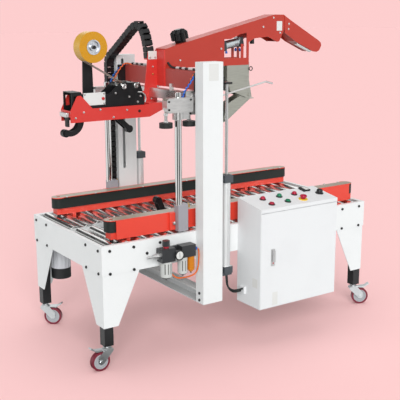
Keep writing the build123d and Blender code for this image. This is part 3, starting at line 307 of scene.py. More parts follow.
def turned(profile, sides=24):
    """A shape turned about Z: the point at angle t on row i is (r cos t, r sin t, h) for the
    profile's radius r and height h. Both ends are closed by a flat face."""
    radius, height = np.array(profile, float).T[:, :, None]
    angle = np.arange(sides) * 2 * np.pi / sides
    rings = np.stack([radius * np.cos(angle), radius * np.sin(angle), height + 0 * angle], -1)
    return ringed(rings)


def ringed(rings, closed=False):
    """The shape of a row of rings of points: four-sided faces between neighbours, and a flat face
    over the first and the last ring, or faces from the last ring to the first if it is closed."""
    rows, sides = rings.shape[:2]
    number = np.arange(rows * sides).reshape(rows, sides)
    low = number if closed else number[:-1]
    high = np.roll(number, -1, axis=0) if closed else number[1:]
    quads = np.stack([low, np.roll(low, -1, axis=1), np.roll(high, -1, axis=1), high], -1)
    faces = [quads.reshape(-1, 4)]
    if not closed:
        faces.append(np.stack([number[0, ::-1], number[-1]]))
    return rings.reshape(-1, 3), faces


def facing(shape, way):
    """The shape with its Z axis turned to point along way."""
    points, faces = shape
    up = np.array(way, float) / np.linalg.norm(way)
    side = np.cross((0, 0, 1) if abs(up[2]) < 0.9 else (1, 0, 0), up)
    side /= np.linalg.norm(side)
    return points @ np.stack([side, np.cross(up, side), up]), faces


def copies(shape, places):
    """The shape repeated at places: the faces of copy k count on from k times its points."""
    points, faces = shape
    places = np.array(places, float).reshape(-1, 3)
    start = np.arange(len(places))[:, None, None] * len(points)
    moved = (points + places[:, None]).reshape(-1, 3)
    return moved, [(part + start).reshape(-1, part.shape[1]) for part in faces]


def joined(*shapes):
    """Several shapes as one."""
    points, faces, start = [], [], 0
    for shape_points, shape_faces in shapes:
        points.append(shape_points)
        faces += [part + start for part in shape_faces]
        start += len(shape_points)
    return np.concatenate(points), faces


def block(left, right, near, far, low, high):
    """A box between two corners, as two rings of four points, one above the other."""
    ring = np.array([(left, near), (right, near), (right, far), (left, far)], float)
    return ringed(np.stack([np.insert(ring, 2, z, axis=1) for z in (low, high)]))


def piece(name, shape, finish, body, bevel=0.0, crisp=32, replaced=()):
    """A piece of the scene, from a shape in millimetres of the bed. Edges sharper than crisp
    degrees stay sharp, and bevel rounds them by so many millimetres."""
    points, faces = shape
    mesh = bpy.data.meshes.new(name)
    mesh.from_pydata(at(points).tolist(), [], [face for part in faces for face in part.tolist()])
    mesh.shade_smooth()
    mesh.set_sharp_from_angle(angle=math.radians(crisp))
    mesh.materials.append(finish.material)
    made = bpy.data.objects.new(name, mesh)
    bpy.context.scene.collection.objects.link(made)
    if bevel:
        rounding = made.modifiers.new("rounding", "BEVEL")
        rounding.width = bevel / 1000
        rounding.segments = 2
    if body:
        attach(made, body)
    if replaced:
        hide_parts(*replaced)
    return made


white_coat = powder_coat("white_coat", "white_paint", white)
dress(white_coat, "bed_side_near", "bed_side_far", "end_plates", "legs", "mast_columns")
black_coat = powder_coat("black_coat", "black_paint", (0.009, 0.009, 0.01), 0.34, 0.3)
dress(black_coat, "leg_tubes", "carriages", "lower_cartridge")
grey_coat = powder_coat("grey_coat", "zinc", (0.68, 0.69, 0.69), 0.45, 0.2)
dress(grey_coat, "under_frame")

socket_head = turned([
    (screw_radius, 0), (screw_radius, 4.4), (screw_radius - 0.8, 5.2),
    (4.0, 5.2), (3.6, 2.6), (0.5, 2.4),
], 18)
screws = []
for side in (-1, 1):
    side_places = [(end * x, side * -bed_near, z) for end in (-1, 1) for x, z in leg_screws]
    screws.append(copies(facing(socket_head, (0, side, 0)), side_places))
    end_places = [(side * bed_end, half * y, z) for half in (-1, 1) for y, z in end_screws]
    screws.append(copies(facing(socket_head, (side, 0, 0)), end_places))
screws.append(copies(facing(socket_head, (-1, 0, 0)), foot_screws))
piece("bed_screws", joined(*screws), black_coat, "frame")

# Rollers
# Two rows of zinc plated tubes with rolled-in ends, on six-sided pins. Over the lower tape head
# the rows stand further apart. The tubes are drawn smooth over the CAD's sixteen flats.
roller_first = -816.5
roller_pitch = 81.0
roller_count = 21
roller_height = 629.0
roller_radius = 24.0
roller_outer = 388.0
pin_outer = 405.0
narrow_inner = 21.0
wide_inner = 55.0
wide_from = -695.0
wide_to = -209.0


def metal(name, slot, colour, roughness, stretch=(1, 1, 1), size=0.004, streaks=0.25, smear=0.12):
    """Bare metal: fine streaks stretched along the piece and a broad smear in its gloss."""
    bare = Finish(name, slot)
    streak = bare.spread(bare.noise(size, 3.0, stretch), 0.3, 0.75)
    cloud = bare.spread(bare.noise(0.09, 4.0), 0.35, 0.75)
    bare.shade = bare.mix(streak * streaks, rgba(colour), rgba(colour, 0.6))
    bare.gloss = streak * (roughness * 0.5) + (cloud * smear + roughness)
    bare.set(Base_Color=bare.shade, Metallic=1.0, Roughness=bare.gloss)
    return bare.set(Normal=bare.bump(streak, 0.00006))


roller_zinc = metal("roller_zinc", "roller_steel", (0.8, 0.8, 0.79), 0.16, (1, 0.05, 1))
dress(roller_zinc, "tape_guides")
centres = roller_first + roller_pitch * np.arange(roller_count)
over_head = (centres > wide_from) & (centres < wide_to)
for row, side in (("near", -1), ("far", 1)):
    parts = []
    for chosen, inner in ((~over_head, narrow_inner), (over_head, wide_inner)):
        length = roller_outer - inner
        tube = turned([
            (9, 0), (9, 2.5), (roller_radius - 5, 2.5), (roller_radius - 2, 0), (roller_radius, 2),
            (roller_radius, length - 2), (roller_radius - 2, length),
            (roller_radius - 5, length - 2.5), (9, length - 2.5), (9, length),
        ], 36)
        pin = turned([(5, inner - pin_outer + length), (5, length + 2)], 6)
        roller = facing(joined(tube, pin), (0, -side, 0))
        xs = centres[chosen]
        level = np.full_like(xs, roller_height)
        places = np.stack([xs, np.full_like(xs, side * roller_outer), level], 1)
        parts.append(copies(roller, places))
    piece(f"roller_tubes_{row}", joined(*parts), roller_zinc, "frame", replaced=[f"rollers_{row}"])

# Casters
# Zinc plated forks with a brake pedal, and wheels with a dark red polyurethane tread on a grey
# moulded hub. The height tubes above them are black.
hub_reach = 41.0


def moulded(name, slot, colour, roughness=0.45, grain=0.0008, dust=0.25):
    """Moulded plastic or rubber: a matte skin with a fine grain and a little dust."""
    skin = Finish(name, slot)
    cloud = skin.spread(skin.noise(0.05, 5.0), 0.45, 0.8)
    skin.shade = skin.mix(cloud * dust, rgba(colour), rgba([part * 0.7 + 0.02 for part in colour]))
    skin.set(Base_Color=skin.shade, Roughness=cloud * 0.15 + roughness, Specular_IOR_Level=0.35)
    return skin.set(Normal=skin.bump(skin.noise(grain, 2.0), 0.00008))


caster_zinc = metal("caster_zinc", "zinc", (0.72, 0.74, 0.75), 0.3)
for name in nodes:
    if name.startswith("caster_fork"):
        dress(caster_zinc, name)
    if name.startswith("caster_wheel"):
        wheel_low, wheel_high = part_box(name)
        centre = (np.array((wheel_low + wheel_high) / 2) - bed_middle) * 1000
        tread = moulded(f"tread_{name[13:]}", "tread", (0.2, 0.022, 0.04), 0.35)
        hub = tread.away(centre) < hub_reach
        tread.set(Base_Color=tread.mix(hub, tread.shade, (0.42, 0.43, 0.45, 1)))
        dress(tread, name)

# Side belt drives
# Red folded housings whose top face is painted grey-tan over a band above the belt, black rubber
# belts with fine cross grooves, finned grey motors with a black fan cap under the outfeed end, and
# grey blocks for the rods.
housing_top = 755.0
strip_near = 281.0
strip_far = 347.0
fan_cap_top = 350.0
rod_block_top = 797.5
belt_groove = 6.0

housing_red = powder_coat("housing_red", "red_paint", (0.78, 0.06, 0.035), 0.34, 0.12)
out = housing_red.along("Y")
band = (out * out > strip_near**2) * (out * out < strip_far**2)
# The top face over this band is painted grey-tan.
grey_top = (housing_red.along("Z") > housing_top - 0.6) * band
housing_red.set(Base_Color=housing_red.mix(grey_top, housing_red.shade, (0.34, 0.28, 0.21, 1)))
dress(housing_red, "drive_housing_near", "drive_housing_far")

belt_rubber = moulded("belt_rubber", "black_rubber", (0.011, 0.015, 0.013), 0.5)
groove = belt_rubber.along("X") * (2 * math.pi / belt_groove)
grooves = belt_rubber.wave("SINE", groove) * 0.5 + 0.5
belt_rubber.set(Normal=belt_rubber.bump(grooves, 0.0004))
dress(belt_rubber, "drive_belt_near", "drive_belt_far")
black_rubber = moulded("black_rubber", "black_rubber", (0.016, 0.019, 0.018), 0.55)
dress(black_rubber, "press_wheels_near", "press_wheels_far", "cylinder_cables")

motor_grey = powder_coat("motor_grey", "motor_grey", (0.68, 0.69, 0.72), 0.45, 0.25)
motor_height = motor_grey.along("Z")
cap = motor_height < fan_cap_top
pulley = motor_height > roller_height
dark = cap + pulley
motor_grey.set(Base_Color=motor_grey.mix(dark, motor_grey.shade, (0.012, 0.012, 0.013, 1)))
dress(motor_grey, "drive_motor_near", "drive_motor_far")

chrome = metal("chrome", "bright_rod", (0.8, 0.8, 0.79), 0.06, (1, 1, 0.05), 0.004, 0.12, 0.03)
rod_radius = 17.5
rod_top = 1372.0
press_rod_x = -417.0
press_rod_y = 378.0
dress(chrome, "lift_rods")
block_grey = powder_coat("block_grey", "bright_rod", (0.34, 0.33, 0.36), 0.4, 0.2)

pan_head = turned([(6, 0), (6, 1.2), (4.6, 3.2), (2.2, 3.8), (1.8, 2.4), (0.4, 2.2)], 16)
screw_steel = metal("screw_steel", "bright_rod", (0.8, 0.8, 0.79), 0.2)
brass = metal("brass", "bright_rod", (0.78, 0.52, 0.2), 0.25)
cover_screws = [(x, 276) for x in (-740, -560, -250, 60, 370, 680, 790)]
for drive, side in (("near", -1), ("far", 1)):
    red_block = block(-465, -432, *sorted((side * 355.3, side * 369)), 662, 754)
    piece(f"rod_stop_{drive}", red_block, housing_red, f"{drive}_drive", bevel=1.5)
    heads = copies(pan_head, [(x, side * y, housing_top) for x, y in cover_screws])
    stop = facing(turned([(5, 0), (5, 12), (9, 12), (9, 17), (4, 19)], 12), (0, side, 0))
    stop = copies(stop, [(-449, side * 369, 702)])
    fitting = turned([(9, 0), (9, 12), (6, 13), (6, 22), (3, 23)], 6)
    fitting = copies(fitting, [(-362.6, side * 384, 776)])
    piece(f"drive_screws_{drive}", joined(heads, stop), screw_steel, f"{drive}_drive")
    piece(f"rod_fitting_{drive}", fitting, brass, f"{drive}_drive")
    rod = turned([(rod_radius, 790), (rod_radius, rod_top - 1.5), (rod_radius - 1.5, rod_top)], 40)
    rod = copies(rod, [(press_rod_x, side * press_rod_y, 0)])
    rod_block = block(-431, -371, *sorted((side * 355.2, side * 397)), 656, rod_block_top)
    replaced = [f"press_rod_{drive}"]
    piece(f"press_rod_tube_{drive}", rod, chrome, f"{drive}_drive", replaced=replaced)
    piece(f"press_rod_block_{drive}", rod_block, block_grey, f"{drive}_drive", bevel=1.5)

# Lift cylinders and crossbeam
# Clear anodised tubes between dark cast end caps, a red crossbeam with the bright guide rail under
# it, and the cables that lie on the beam, in a white spiral wrap.
cap_low = 443.0
cap_high = 897.0
beam_top = 1465.0

brushed_up = (1, 1, 0.04)
lift_shade = (0.8, 0.81, 0.81)
lift_alloy = metal("lift_alloy", "cylinder_metal", lift_shade, 0.4, brushed_up, 0.004, 0.1)
height = lift_alloy.along("Z")
ends = (height < cap_low) + (height > cap_high)
lift_alloy.set(Base_Color=lift_alloy.mix(ends, lift_alloy.shade, (0.07, 0.08, 0.09, 1)))
lift_alloy.set(Metallic=0.6 - ends * 0.6, Roughness=lift_alloy.gloss + ends * 0.2)
dress(lift_alloy, "lift_cylinders")
rail_steel = metal("rail_steel", "bright_rod", (0.72, 0.71, 0.7), 0.22, (1, 0.05, 1))
dress(rail_steel, "guide_rail")
beam_red = powder_coat("beam_red", "red_paint", (0.42, 0.06, 0.05), 0.42, 0.4)
dress(beam_red, "crossbeam")


def smooth_line(points, count=48):
    """A smooth line through points: on each stretch it is the cubic whose ends keep half the step
    between the neighbouring points as their slope, and it is cut into count equal parts."""
    points = np.array(points, float)
    slope = np.gradient(points, axis=0)
    share = np.linspace(0, len(points) - 1 - 1e-9, count + 1)
    start = share.astype(int)
    t = (share - start)[:, None]
    first, second = points[start], points[start + 1]
    bend = (2 * t**3 - 3 * t**2 + 1) * first + (3 * t**2 - 2 * t**3) * second
    return bend + (t**3 - 2 * t**2 + t) * slope[start] + (t**3 - t**2) * slope[start + 1]


def tube(line, radius, sides=12, closed=False):
    """A round tube along a line: at each point a circle of the radius, or of one radius a point,
    stands square to the line, its first axis square to the line and to one fixed direction."""
    way = np.gradient(line, axis=0)
    if closed:
        way = np.roll(line, -1, axis=0) - np.roll(line, 1, axis=0)
    way /= np.linalg.norm(way, axis=1, keepdims=True)
    fixed = np.eye(3)[np.argmin(np.abs(way).max(axis=0))]
    side = np.cross(fixed, way)
    side /= np.linalg.norm(side, axis=1, keepdims=True)
    other = np.cross(way, side)
    angle = np.arange(sides)[None, :, None] * 2 * np.pi / sides
    radius = np.broadcast_to(radius, len(line))[:, None, None]
    round_line = np.cos(angle) * side[:, None] + np.sin(angle) * other[:, None]
    rings = line[:, None] + radius * round_line
    return ringed(rings, closed)


cable_black = moulded("cable_black", "black_rubber", (0.014, 0.014, 0.015), 0.4)
wrap_white = moulded("wrap_white", "black_rubber", (0.62, 0.6, 0.6), 0.4)
for beam_side, side in (("near", -1), ("far", 1)):
    line = smooth_line([
        (-268, side * 47, beam_top + 30), (-262, side * 80, beam_top + 9),
        (-258, side * 150, beam_top + 7), (-264, side * 230, beam_top + 8),
        (-256, side * 310, beam_top + 7), (-262, side * 362, beam_top + 5),
        (-262, side * 380, beam_top - 10),
    ], 90)
    piece(f"beam_cable_{beam_side}", tube(line, 6.2), cable_black, "head")
    wraps = [tube(line[start:start + 7], 7.2) for start in range(24, 78, 12)]
    piece(f"beam_wrap_{beam_side}", joined(*wraps), wrap_white, "head")

# Arm
# Red sheet arm with a folded nose, held by zinc plated screws. In its window is the flap kicker's
# air cylinder, with dark caps and blue push-in fittings. A bare plate is fixed on the near cheek.
arm_cheek = -48.0
nose_cheek = -51.0
arm_screws = [(83, 95), (380, 211), (-190, 40), (505, 176), (455, 262)]
nose_screws = [(569, 226), (566, 196)]
plate_thickness = 0.6
kicker_middle = 184.0
kicker_barrel = 46.0

arm_red = powder_coat("arm_red", "red_paint", (0.47, 0.034, 0.018), 0.34, 0.2)
dress(arm_red, "arm_housing", "arm_nose")
post_red = powder_coat("post_red", "red_paint", (0.66, 0.038, 0.03), 0.34, 0.2)
dress(post_red, "arm_post", "tape_frame")
knob_black = moulded("knob_black", "black_plastic", (0.008, 0.008, 0.009), 0.22)
dress(knob_black, "star_knob")
kicker_alloy = metal("kicker_alloy", "cylinder_metal", (0.55, 0.6, 0.62), 0.26, (0.05, 1, 1))
from_middle = kicker_alloy.along("X") - kicker_middle
caps = (from_middle < -kicker_barrel) + (from_middle > kicker_barrel)
kicker_alloy.set(Base_Color=kicker_alloy.mix(caps, kicker_alloy.shade, (0.03, 0.035, 0.04, 1)))
kicker_alloy.set(Metallic=1 - caps)
dress(kicker_alloy, "kicker_cylinder")
stainless = metal("stainless", "stainless", (0.42, 0.42, 0.37), 0.3, (0.06, 1, 1), 0.003, 0.3)
dress(stainless, "kicker_bracket", "kicker_blade")

arm_heads = []
for side in (-1, 1):
    head = facing(pan_head, (0, side, 0))
    for cheek, spots in ((arm_cheek, arm_screws), (nose_cheek, nose_screws)):
        places = [(x, -side * cheek, beam_top + rise) for x, rise in spots]
        arm_heads.append(copies(head, places))
piece("arm_screws", joined(*arm_heads), screw_steel, "head")

bare_plate = powder_coat("bare_plate", "white_paint", (0.74, 0.74, 0.72), 0.3, 0.1)
arm_plate_near = arm_cheek - plate_thickness
arm_plate = block(480, 520, arm_plate_near, arm_cheek - 0.05, beam_top + 188, beam_top + 242)
piece("arm_plate", arm_plate, bare_plate, "head")
guide_points = [(640, 113), (752, 64), (749, 57), (637, 106)]
guide_ring = np.array([(x, 0, beam_top + rise) for x, rise in guide_points], float)
guide_strip = ringed(np.stack([guide_ring[::-1] + (0, y, 0) for y in (-22, -46)]))
piece("nose_guide", guide_strip, rail_steel, "head", bevel=1.0)
fitting = block(298, 318, -46, -28, beam_top + 116, beam_top + 147)
piece("arm_fitting", fitting, knob_black, "head", bevel=2)


def hoop(centre, radius, count):
    """A closed circle in the XZ plane: (r cos t, 0, r sin t) about its centre."""
    angle = np.arange(count) * 2 * np.pi / count
    circle = np.stack([np.cos(angle), 0 * angle, np.sin(angle)], 1)
    return np.array(centre, float) + radius * circle


eye_line = hoop((294, -47, 1442), 11, 28)
piece("kicker_eye", tube(eye_line, 2.6, 10, closed=True), black_coat, "head")
air_blue = moulded("air_blue", "controls", (0.02, 0.12, 0.5), 0.3)
elbow = turned([(4, 0), (4, 5), (6.5, 6), (6.5, 16), (5.5, 18), (3, 18)], 16)
elbows = joined(
    copies(facing(elbow, (0.2, -0.3, -1)), [(232, -18, 1558)]),
    copies(facing(elbow, (0.2, 0.3, -1)), [(232, 18, 1558)]),
    copies(facing(elbow, (0.1, -0.2, -1)), [(138, -18, 1548)]),
)
piece("kicker_elbows", elbows, air_blue, "head")

# Chain plate and gusset
# A small white plate holds the chain's end, with two zinc plated screws. More screws, one of them
# brass, sit in the arm's gusset, and a thin bare plate on the near column.
gusset_face = 30.0
post_plate = block(-345, -292, gusset_face - 3, gusset_face - 0.1, 1512, 1556)
piece("chain_end_plate", post_plate, bare_plate, "head", bevel=0.8)
plate_heads = facing(pan_head, (0, -1, 0))
chain_end_heads = copies(plate_heads, [(-335, 27, 1522), (-303, 27, 1522)])
piece("chain_end_screws", chain_end_heads, screw_steel, "head")
gusset_spots = [(-316, 1472), (-330, 1300), (-385, 1300)]
gusset_heads = copies(plate_heads, [(x, gusset_face, z) for x, z in gusset_spots])
piece("gusset_screws", gusset_heads, screw_steel, "head")
piece("gusset_brass", copies(plate_heads, [(-316, gusset_face, 1432)]), brass, "head")
column_plate_near = column_front - plate_thickness
column_plate = block(-298, -240, column_plate_near, column_front - 0.05, 1428, 1512)
piece("column_plate", column_plate, bare_plate, "frame")

# Upper tape head
# Black cartridge between red side plates, with a bare white plate on its near side and a bright
# block with a black wiper at the outfeed end. The tape runs from the roll to the guides.
head_left = -863.0
frame_face = -75.0
cartridge_face = -66.0
roll_x = -704.0
roll_z = 1588.0
roll_radius = 79.0
tape_half = 34.5
guide_x = -481.0
guide_z = 1387.0
guide_radius = 14.0

black_moulding = moulded("black_moulding", "black_plastic", (0.007, 0.007, 0.008), 0.38)
dress(black_moulding, "cable_chain_arch", "upper_cartridge", "roll_holder")
dress(black_moulding, "upper_outfeed_arm", "upper_infeed_arm")
dress(black_moulding, "lower_infeed_arm", "lower_outfeed_arm")

tape_amber = moulded("tape_amber", "tape", (0.62, 0.3, 0.012), 0.2)
from_axis = tape_amber.away((roll_x, -tape_half, roll_z))
winding = tape_amber.wave("SINE", from_axis * 3.2)
wound = tape_amber.noise(0.03, 4.0)
side_face = tape_amber.mix(wound * 0.5, (0.66, 0.31, 0.012, 1), (0.5, 0.22, 0.008, 1))
rolled = tape_amber.mix(wound * 0.4, (0.72, 0.42, 0.07, 1), (0.62, 0.33, 0.03, 1))
on_side = tape_amber.along("Y") < -tape_half
tape_amber.set(Base_Color=tape_amber.mix(on_side, rolled, side_face))
tape_amber.set(Roughness=0.22 + wound * 0.12)
tape_amber.set(Normal=tape_amber.bump(winding * 0.5 + 0.5, 0.0002))
dress(tape_amber, "tape_roll")

hub_alloy = metal("hub_alloy", "press_metal", (0.66, 0.68, 0.72), 0.2, (1, 1, 1), 0.01, 0.4)
dress(hub_alloy, "roll_hub")

tape_film = Finish("tape_film", "tape")
film_cloud = tape_film.noise(0.02, 3.0)
tape_film.set(Base_Color=tape_film.mix(film_cloud, (0.66, 0.5, 0.42, 1), (0.76, 0.62, 0.54, 1)))
tape_film.set(Roughness=0.16 + film_cloud * 0.1, Alpha=0.62 + film_cloud * 0.2)
across = math.hypot(guide_x - roll_x, guide_z - roll_z)
lean = math.atan2(guide_z - roll_z, guide_x - roll_x)
lean += math.asin((roll_radius - guide_radius) / across)
wrap = np.linspace(lean - math.pi / 2, lean - math.pi / 2 + 1.2, 14)
round_guide = np.stack([np.cos(wrap), np.sin(wrap)], 1)
square = np.array([[math.sin(lean), -math.cos(lean)]])
off_roll = (roll_x, roll_z) + roll_radius * square
on_guide = (guide_x, guide_z) + (guide_radius + 0.4) * round_guide
film = np.concatenate([off_roll, on_guide])
inward = np.concatenate([square, round_guide])
film_ring = np.concatenate([film, (film + inward * 0.5)[::-1]])
film_edges = (-tape_half + 6, tape_half - 10)
film_rings = np.stack([np.insert(film_ring, 1, y, axis=1) for y in film_edges])
piece("tape_web", ringed(film_rings), tape_film, "head", crisp=60)

head_plate = block(-786, -662, cartridge_face - 3, cartridge_face - 0.1, 1298, 1362)
piece("sign_plate", head_plate, bare_plate, "head", bevel=1)
plate_corners = [(x, cartridge_face - 3, z) for x in (-779, -669) for z in (1305, 1355)]
frame_places = [(-790, 1266), (-696, 1274), (-620, 1230), (-540, 1262), (-836, 1240)]
head_places = [
    (-452, 1330), (-470, 1300), (-600, 1352), (-520, 1330), (-566, 1395), (-463, 1396),
]
tape_heads = joined(
    copies(plate_heads, plate_corners),
    copies(plate_heads, [(x, frame_face, z) for x, z in frame_places]),
    copies(plate_heads, [(x, cartridge_face, z) for x, z in head_places]),
)
piece("tape_head_screws", tape_heads, screw_steel, "head")
guide_end = turned([(13.6, 0), (13.6, 11), (12, 12), (7, 12), (6.4, 9), (1, 9)], 28)
guide_places = [(-553, cartridge_face, 1385), (guide_x, cartridge_face, guide_z)]
guide_ends = copies(facing(guide_end, (0, -1, 0)), guide_places)
piece("guide_ends", guide_ends, roller_zinc, "head")
knob_red = moulded("knob_red", "controls", (0.55, 0.03, 0.03), 0.3)
small_knob = facing(turned([(8, 0), (8, 6), (6, 9), (2, 9.5)], 20), (0, -1, 0))
piece("sign_knob", copies(small_knob, [(-676, cartridge_face - 3, 1330)]), knob_red, "head")
frame_plug = facing(turned([(8, 0), (8, 1), (6, 1.4), (1, 1.4)], 20), (0, -1, 0))
piece("frame_plug", copies(frame_plug, [(-465, frame_face, 1252)]), black_moulding, "head")
end_block = block(head_left - 19, head_left - 0.1, -62, 17, 1245, 1268)
piece("end_block", end_block, rail_steel, "head", bevel=2)
end_wiper = block(head_left - 14, head_left - 1, -62, -31, 1196, 1245)
piece("end_wiper", end_wiper, black_rubber, "head", bevel=3)
lever_points = [(-470, -70, 1352), (-440, -72, 1346), (-425, -72, 1322), (-428, -70, 1296)]
lever_line = smooth_line(lever_points, 24)
piece("cutter_lever", tube(lever_line, 4.5), screw_steel, "head")

# Side presses
# Machined aluminium slides and brackets with socket screws, a bent steel flap bar, and coloured
# air hoses that reach from the crossbeam to each press.
press_shade = (0.66, 0.65, 0.64)
press_alloy = metal("press_alloy", "press_metal", press_shade, 0.26, (0.2, 1, 1), 0.006, 0.3)
dress(press_alloy, "press_carriage_near", "press_carriage_far")
hose_colours = {
    "blue": (0.02, 0.14, 0.6), "black": (0.014, 0.014, 0.015), "orange": (0.75, 0.13, 0.03),
}
hose_radius = 3.4
coil_radius = 3.2
coil_turns = 13
for press, side in (("near", -1), ("far", 1)):
    low_place, high_place = (-384, side * 384, 1352), (-292, side * 366, 1472)
    for number, (colour, value) in enumerate(hose_colours.items()):
        hose_finish = moulded(f"hose_{colour}_{press}", "controls", value, 0.3)
        offset = (number - 1) * 9
        line = smooth_line([
            (low_place[0] + offset, low_place[1], low_place[2] - 10),
            (low_place[0] + offset * 0.8 + 8, side * (386 - offset * 0.5), 1378),
            (-346 + offset * 0.6, side * (388 - offset), 1424 + offset * 0.4),
            (high_place[0] - 12, side * (376 - offset * 0.4), 1468 + offset * 0.2),
            (high_place[0] + 14, side * (364 - offset), 1471),
            (high_place[0] + 30, side * (354 - offset), 1459),
        ], 60)
        turns = np.linspace(0, coil_turns * 2 * math.pi, len(line))
        around = np.stack([np.cos(turns), np.sin(turns) * 0.6, np.sin(turns) * 0.5], 1)
        path = line if colour == "black" else line + coil_radius * around
        shape = tube(path, hose_radius, 8)
        hose = piece(f"press_hose_{colour}_{press}", shape, hose_finish, None)
        at(high_place)
        at(low_place)
        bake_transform(hose)
    heads = facing(socket_head, (0, side, 0))
    small_heads = (heads[0] * 0.7, heads[1])
    bracket_spots = [(-488, 1290), (-488, 1330), (-360, 1334)]
    bracket_places = [(x, side * 408, z) for x, z in bracket_spots]
    slide_places = [(x, side * 388, z) for x, z in [(-310, 1360), (-350, 1262), (-310, 1262)]]
    carriage_screws = copies(small_heads, bracket_places + slide_places)
    piece(f"press_screws_{press}", carriage_screws, black_coat, f"{press}_press")
    nut = turned([(13, 0), (13, 9), (10.5, 11), (8, 11)], 6)
    nut_spots = [(-483, 1222), (-345, 1222), (-483, 1258)]
    stems = copies(nut, [(x, side * 368, z) for x, z in nut_spots])
    piece(f"press_nuts_{press}", stems, screw_steel, f"{press}_press")

# Cabinet
# White powder-coated box with a door whose lever lock is chromed. On the sloping top are pilot
# lamps, buttons, a stop button on a yellow ring, a meter and a speed knob.
cabinet_left = -62.0
cabinet_front = -614.0
cabinet_back = -410.0
panel_low = 762.0
panel_high = 794.0

cabinet_white = powder_coat("cabinet_white", "white_paint", (0.8, 0.81, 0.82), 0.36, 0.1)
dress(cabinet_white, "cabinet_shell")
door_white = powder_coat("door_white", "white_paint", (0.8, 0.81, 0.82), 0.36, 0.1)
lock = door_white.along("Y") < cabinet_front - 0.5
door_shade = door_white.mix(lock, door_white.shade, (0.62, 0.62, 0.62, 1))
door_white.set(Base_Color=door_shade, Metallic=lock)
dress(door_white, "cabinet_door")
lock_dot = facing(turned([(3.6, 0), (3.6, 1.2), (1.0, 1.6)], 16), (0, -1, 0))
piece("lock_dot", copies(lock_dot, [(18, cabinet_front - 5, 466)]), knob_red, "cabinet_door")
door_plate = block(20, 56, cabinet_front - plate_thickness, cabinet_front - 0.05, 228, 300)
piece("door_plate", door_plate, bare_plate, "cabinet_door")
side_plate = block(cabinet_left - plate_thickness, cabinet_left - 0.05, -590, -546, 330, 380)
piece("cabinet_side_plate", side_plate, bare_plate, "frame")
hinge = turned([(6, 0), (6, 58), (5, 60)], 16)
piece("door_hinges", copies(hinge, [(464, -607, 290), (464, -607, 630)]), cabinet_white, "frame")

slope = (panel_high - panel_low) / (cabinet_back - cabinet_front)
panel_up = (0, -slope, 1)


def on_panel(shape, *spots):
    """The shape standing on the sloping panel at each x and y."""
    places = [(x, y, panel_low + (y - cabinet_front) * slope) for x, y in spots]
    return copies(facing(shape, panel_up), places)


lamp_bezel = turned([(18, 0), (18, 3), (16.5, 5), (14, 5)], 28)
lamp_dome = turned([(13.5, 4), (13.5, 9), (12.4, 13), (9.4, 16.5), (4.6, 18.4), (0.8, 19)], 28)
push_button = turned([(13, 4), (13, 10), (12, 11.5), (2, 11.5)], 28)
yellow_ring = turned([(25, 0), (25, 3), (24, 4), (13, 4)], 36)
stop_button = turned([(12, 3), (12, 13), (19, 15), (19.5, 20), (17, 24), (8, 26), (1, 26.3)], 32)
meter_frame = block(-25, 25, -23, 23, 0, 9)
meter_face = block(-20, 20, -6, 19, 9, 9.6)
speed_knob = turned([(23, 0), (23, 3), (18, 4), (16.5, 20), (15, 22), (2, 22)], 30)
red_lamp_spots = [(47, -486), (267, -485)]
green_lamp_spots = [(162, -484)]
red_button_spots = [(47, -563)]
green_button_spots = [(160, -560)]
stop_spot = (265, -562)
meter_spot = (372, -448)
knob_spot = (420, -520)
red_parts = joined(on_panel(lamp_dome, *red_lamp_spots), on_panel(push_button, *red_button_spots))
green_lamps = on_panel(lamp_dome, *green_lamp_spots)
green_parts = joined(green_lamps, on_panel(push_button, *green_button_spots))
lens_red = moulded("lens_red", "controls", (0.42, 0.01, 0.04), 0.12, dust=0.05)
lens_green = moulded("lens_green", "controls", (0.01, 0.19, 0.09), 0.12, dust=0.05)
ring_yellow = moulded("ring_yellow", "controls", (0.85, 0.55, 0.02), 0.3, dust=0.1)
panel_black = moulded("panel_black", "controls", (0.015, 0.015, 0.016), 0.3)
piece("panel_red", red_parts, lens_red, "frame", replaced=["panel_controls"])
piece("panel_green", green_parts, lens_green, "frame")
bezel_spots = red_lamp_spots + green_lamp_spots + red_button_spots + green_button_spots
bezels = on_panel(lamp_bezel, *bezel_spots)
piece("panel_bezels", bezels, panel_black, "frame")
piece("stop_ring", on_panel(yellow_ring, stop_spot), ring_yellow, "frame")
piece("stop_button", on_panel(stop_button, stop_spot), lens_red, "frame")
dark_controls = joined(on_panel(meter_frame, meter_spot), on_panel(speed_knob, knob_spot))
piece("meter_and_knob", dark_controls, panel_black, "frame")
piece("meter_face", on_panel(meter_face, meter_spot), bare_plate, "frame")

# Air unit
# Die-cast black bodies with a bright nozzle, a regulator knob with a red ring, a gauge, and bowls:
# two clear ones in a grey guard and an amber one. An orange hose leads from it under the bed.
nozzle_end = -583.0
amber_from = -423.0
gauge_place = (-484.5, -489, 562)

air_black = powder_coat("air_black", "air_metal", (0.03, 0.031, 0.034), 0.35, 0.3)
nozzle = air_black.along("X") < nozzle_end
knob_height = air_black.along("Z")
red_ring = (knob_height > 604) * (knob_height < 613)
air_shade = air_black.mix(nozzle, air_black.shade, (0.6, 0.6, 0.6, 1))
air_black.set(Base_Color=air_black.mix(red_ring, air_shade, (0.5, 0.02, 0.04, 1)), Metallic=nozzle)
dress(air_black, "air_unit")
bowl_guard = moulded("bowl_guard", "bowl", (0.56, 0.57, 0.55), 0.22)
amber = bowl_guard.along("X") > amber_from
bowl_height = bowl_guard.along("Z")
foot = bowl_height < 452
slots = bowl_guard.wave("SINE", bowl_guard.along("X") * 0.42) > 0.7
slots = slots * (bowl_height > 470) * (bowl_height < 524) * (1 - amber)
bowl_shade = bowl_guard.mix(amber, bowl_guard.shade, (0.6, 0.2, 0.01, 1))
bowl_shade = bowl_guard.mix(slots, bowl_shade, (0.09, 0.09, 0.085, 1))
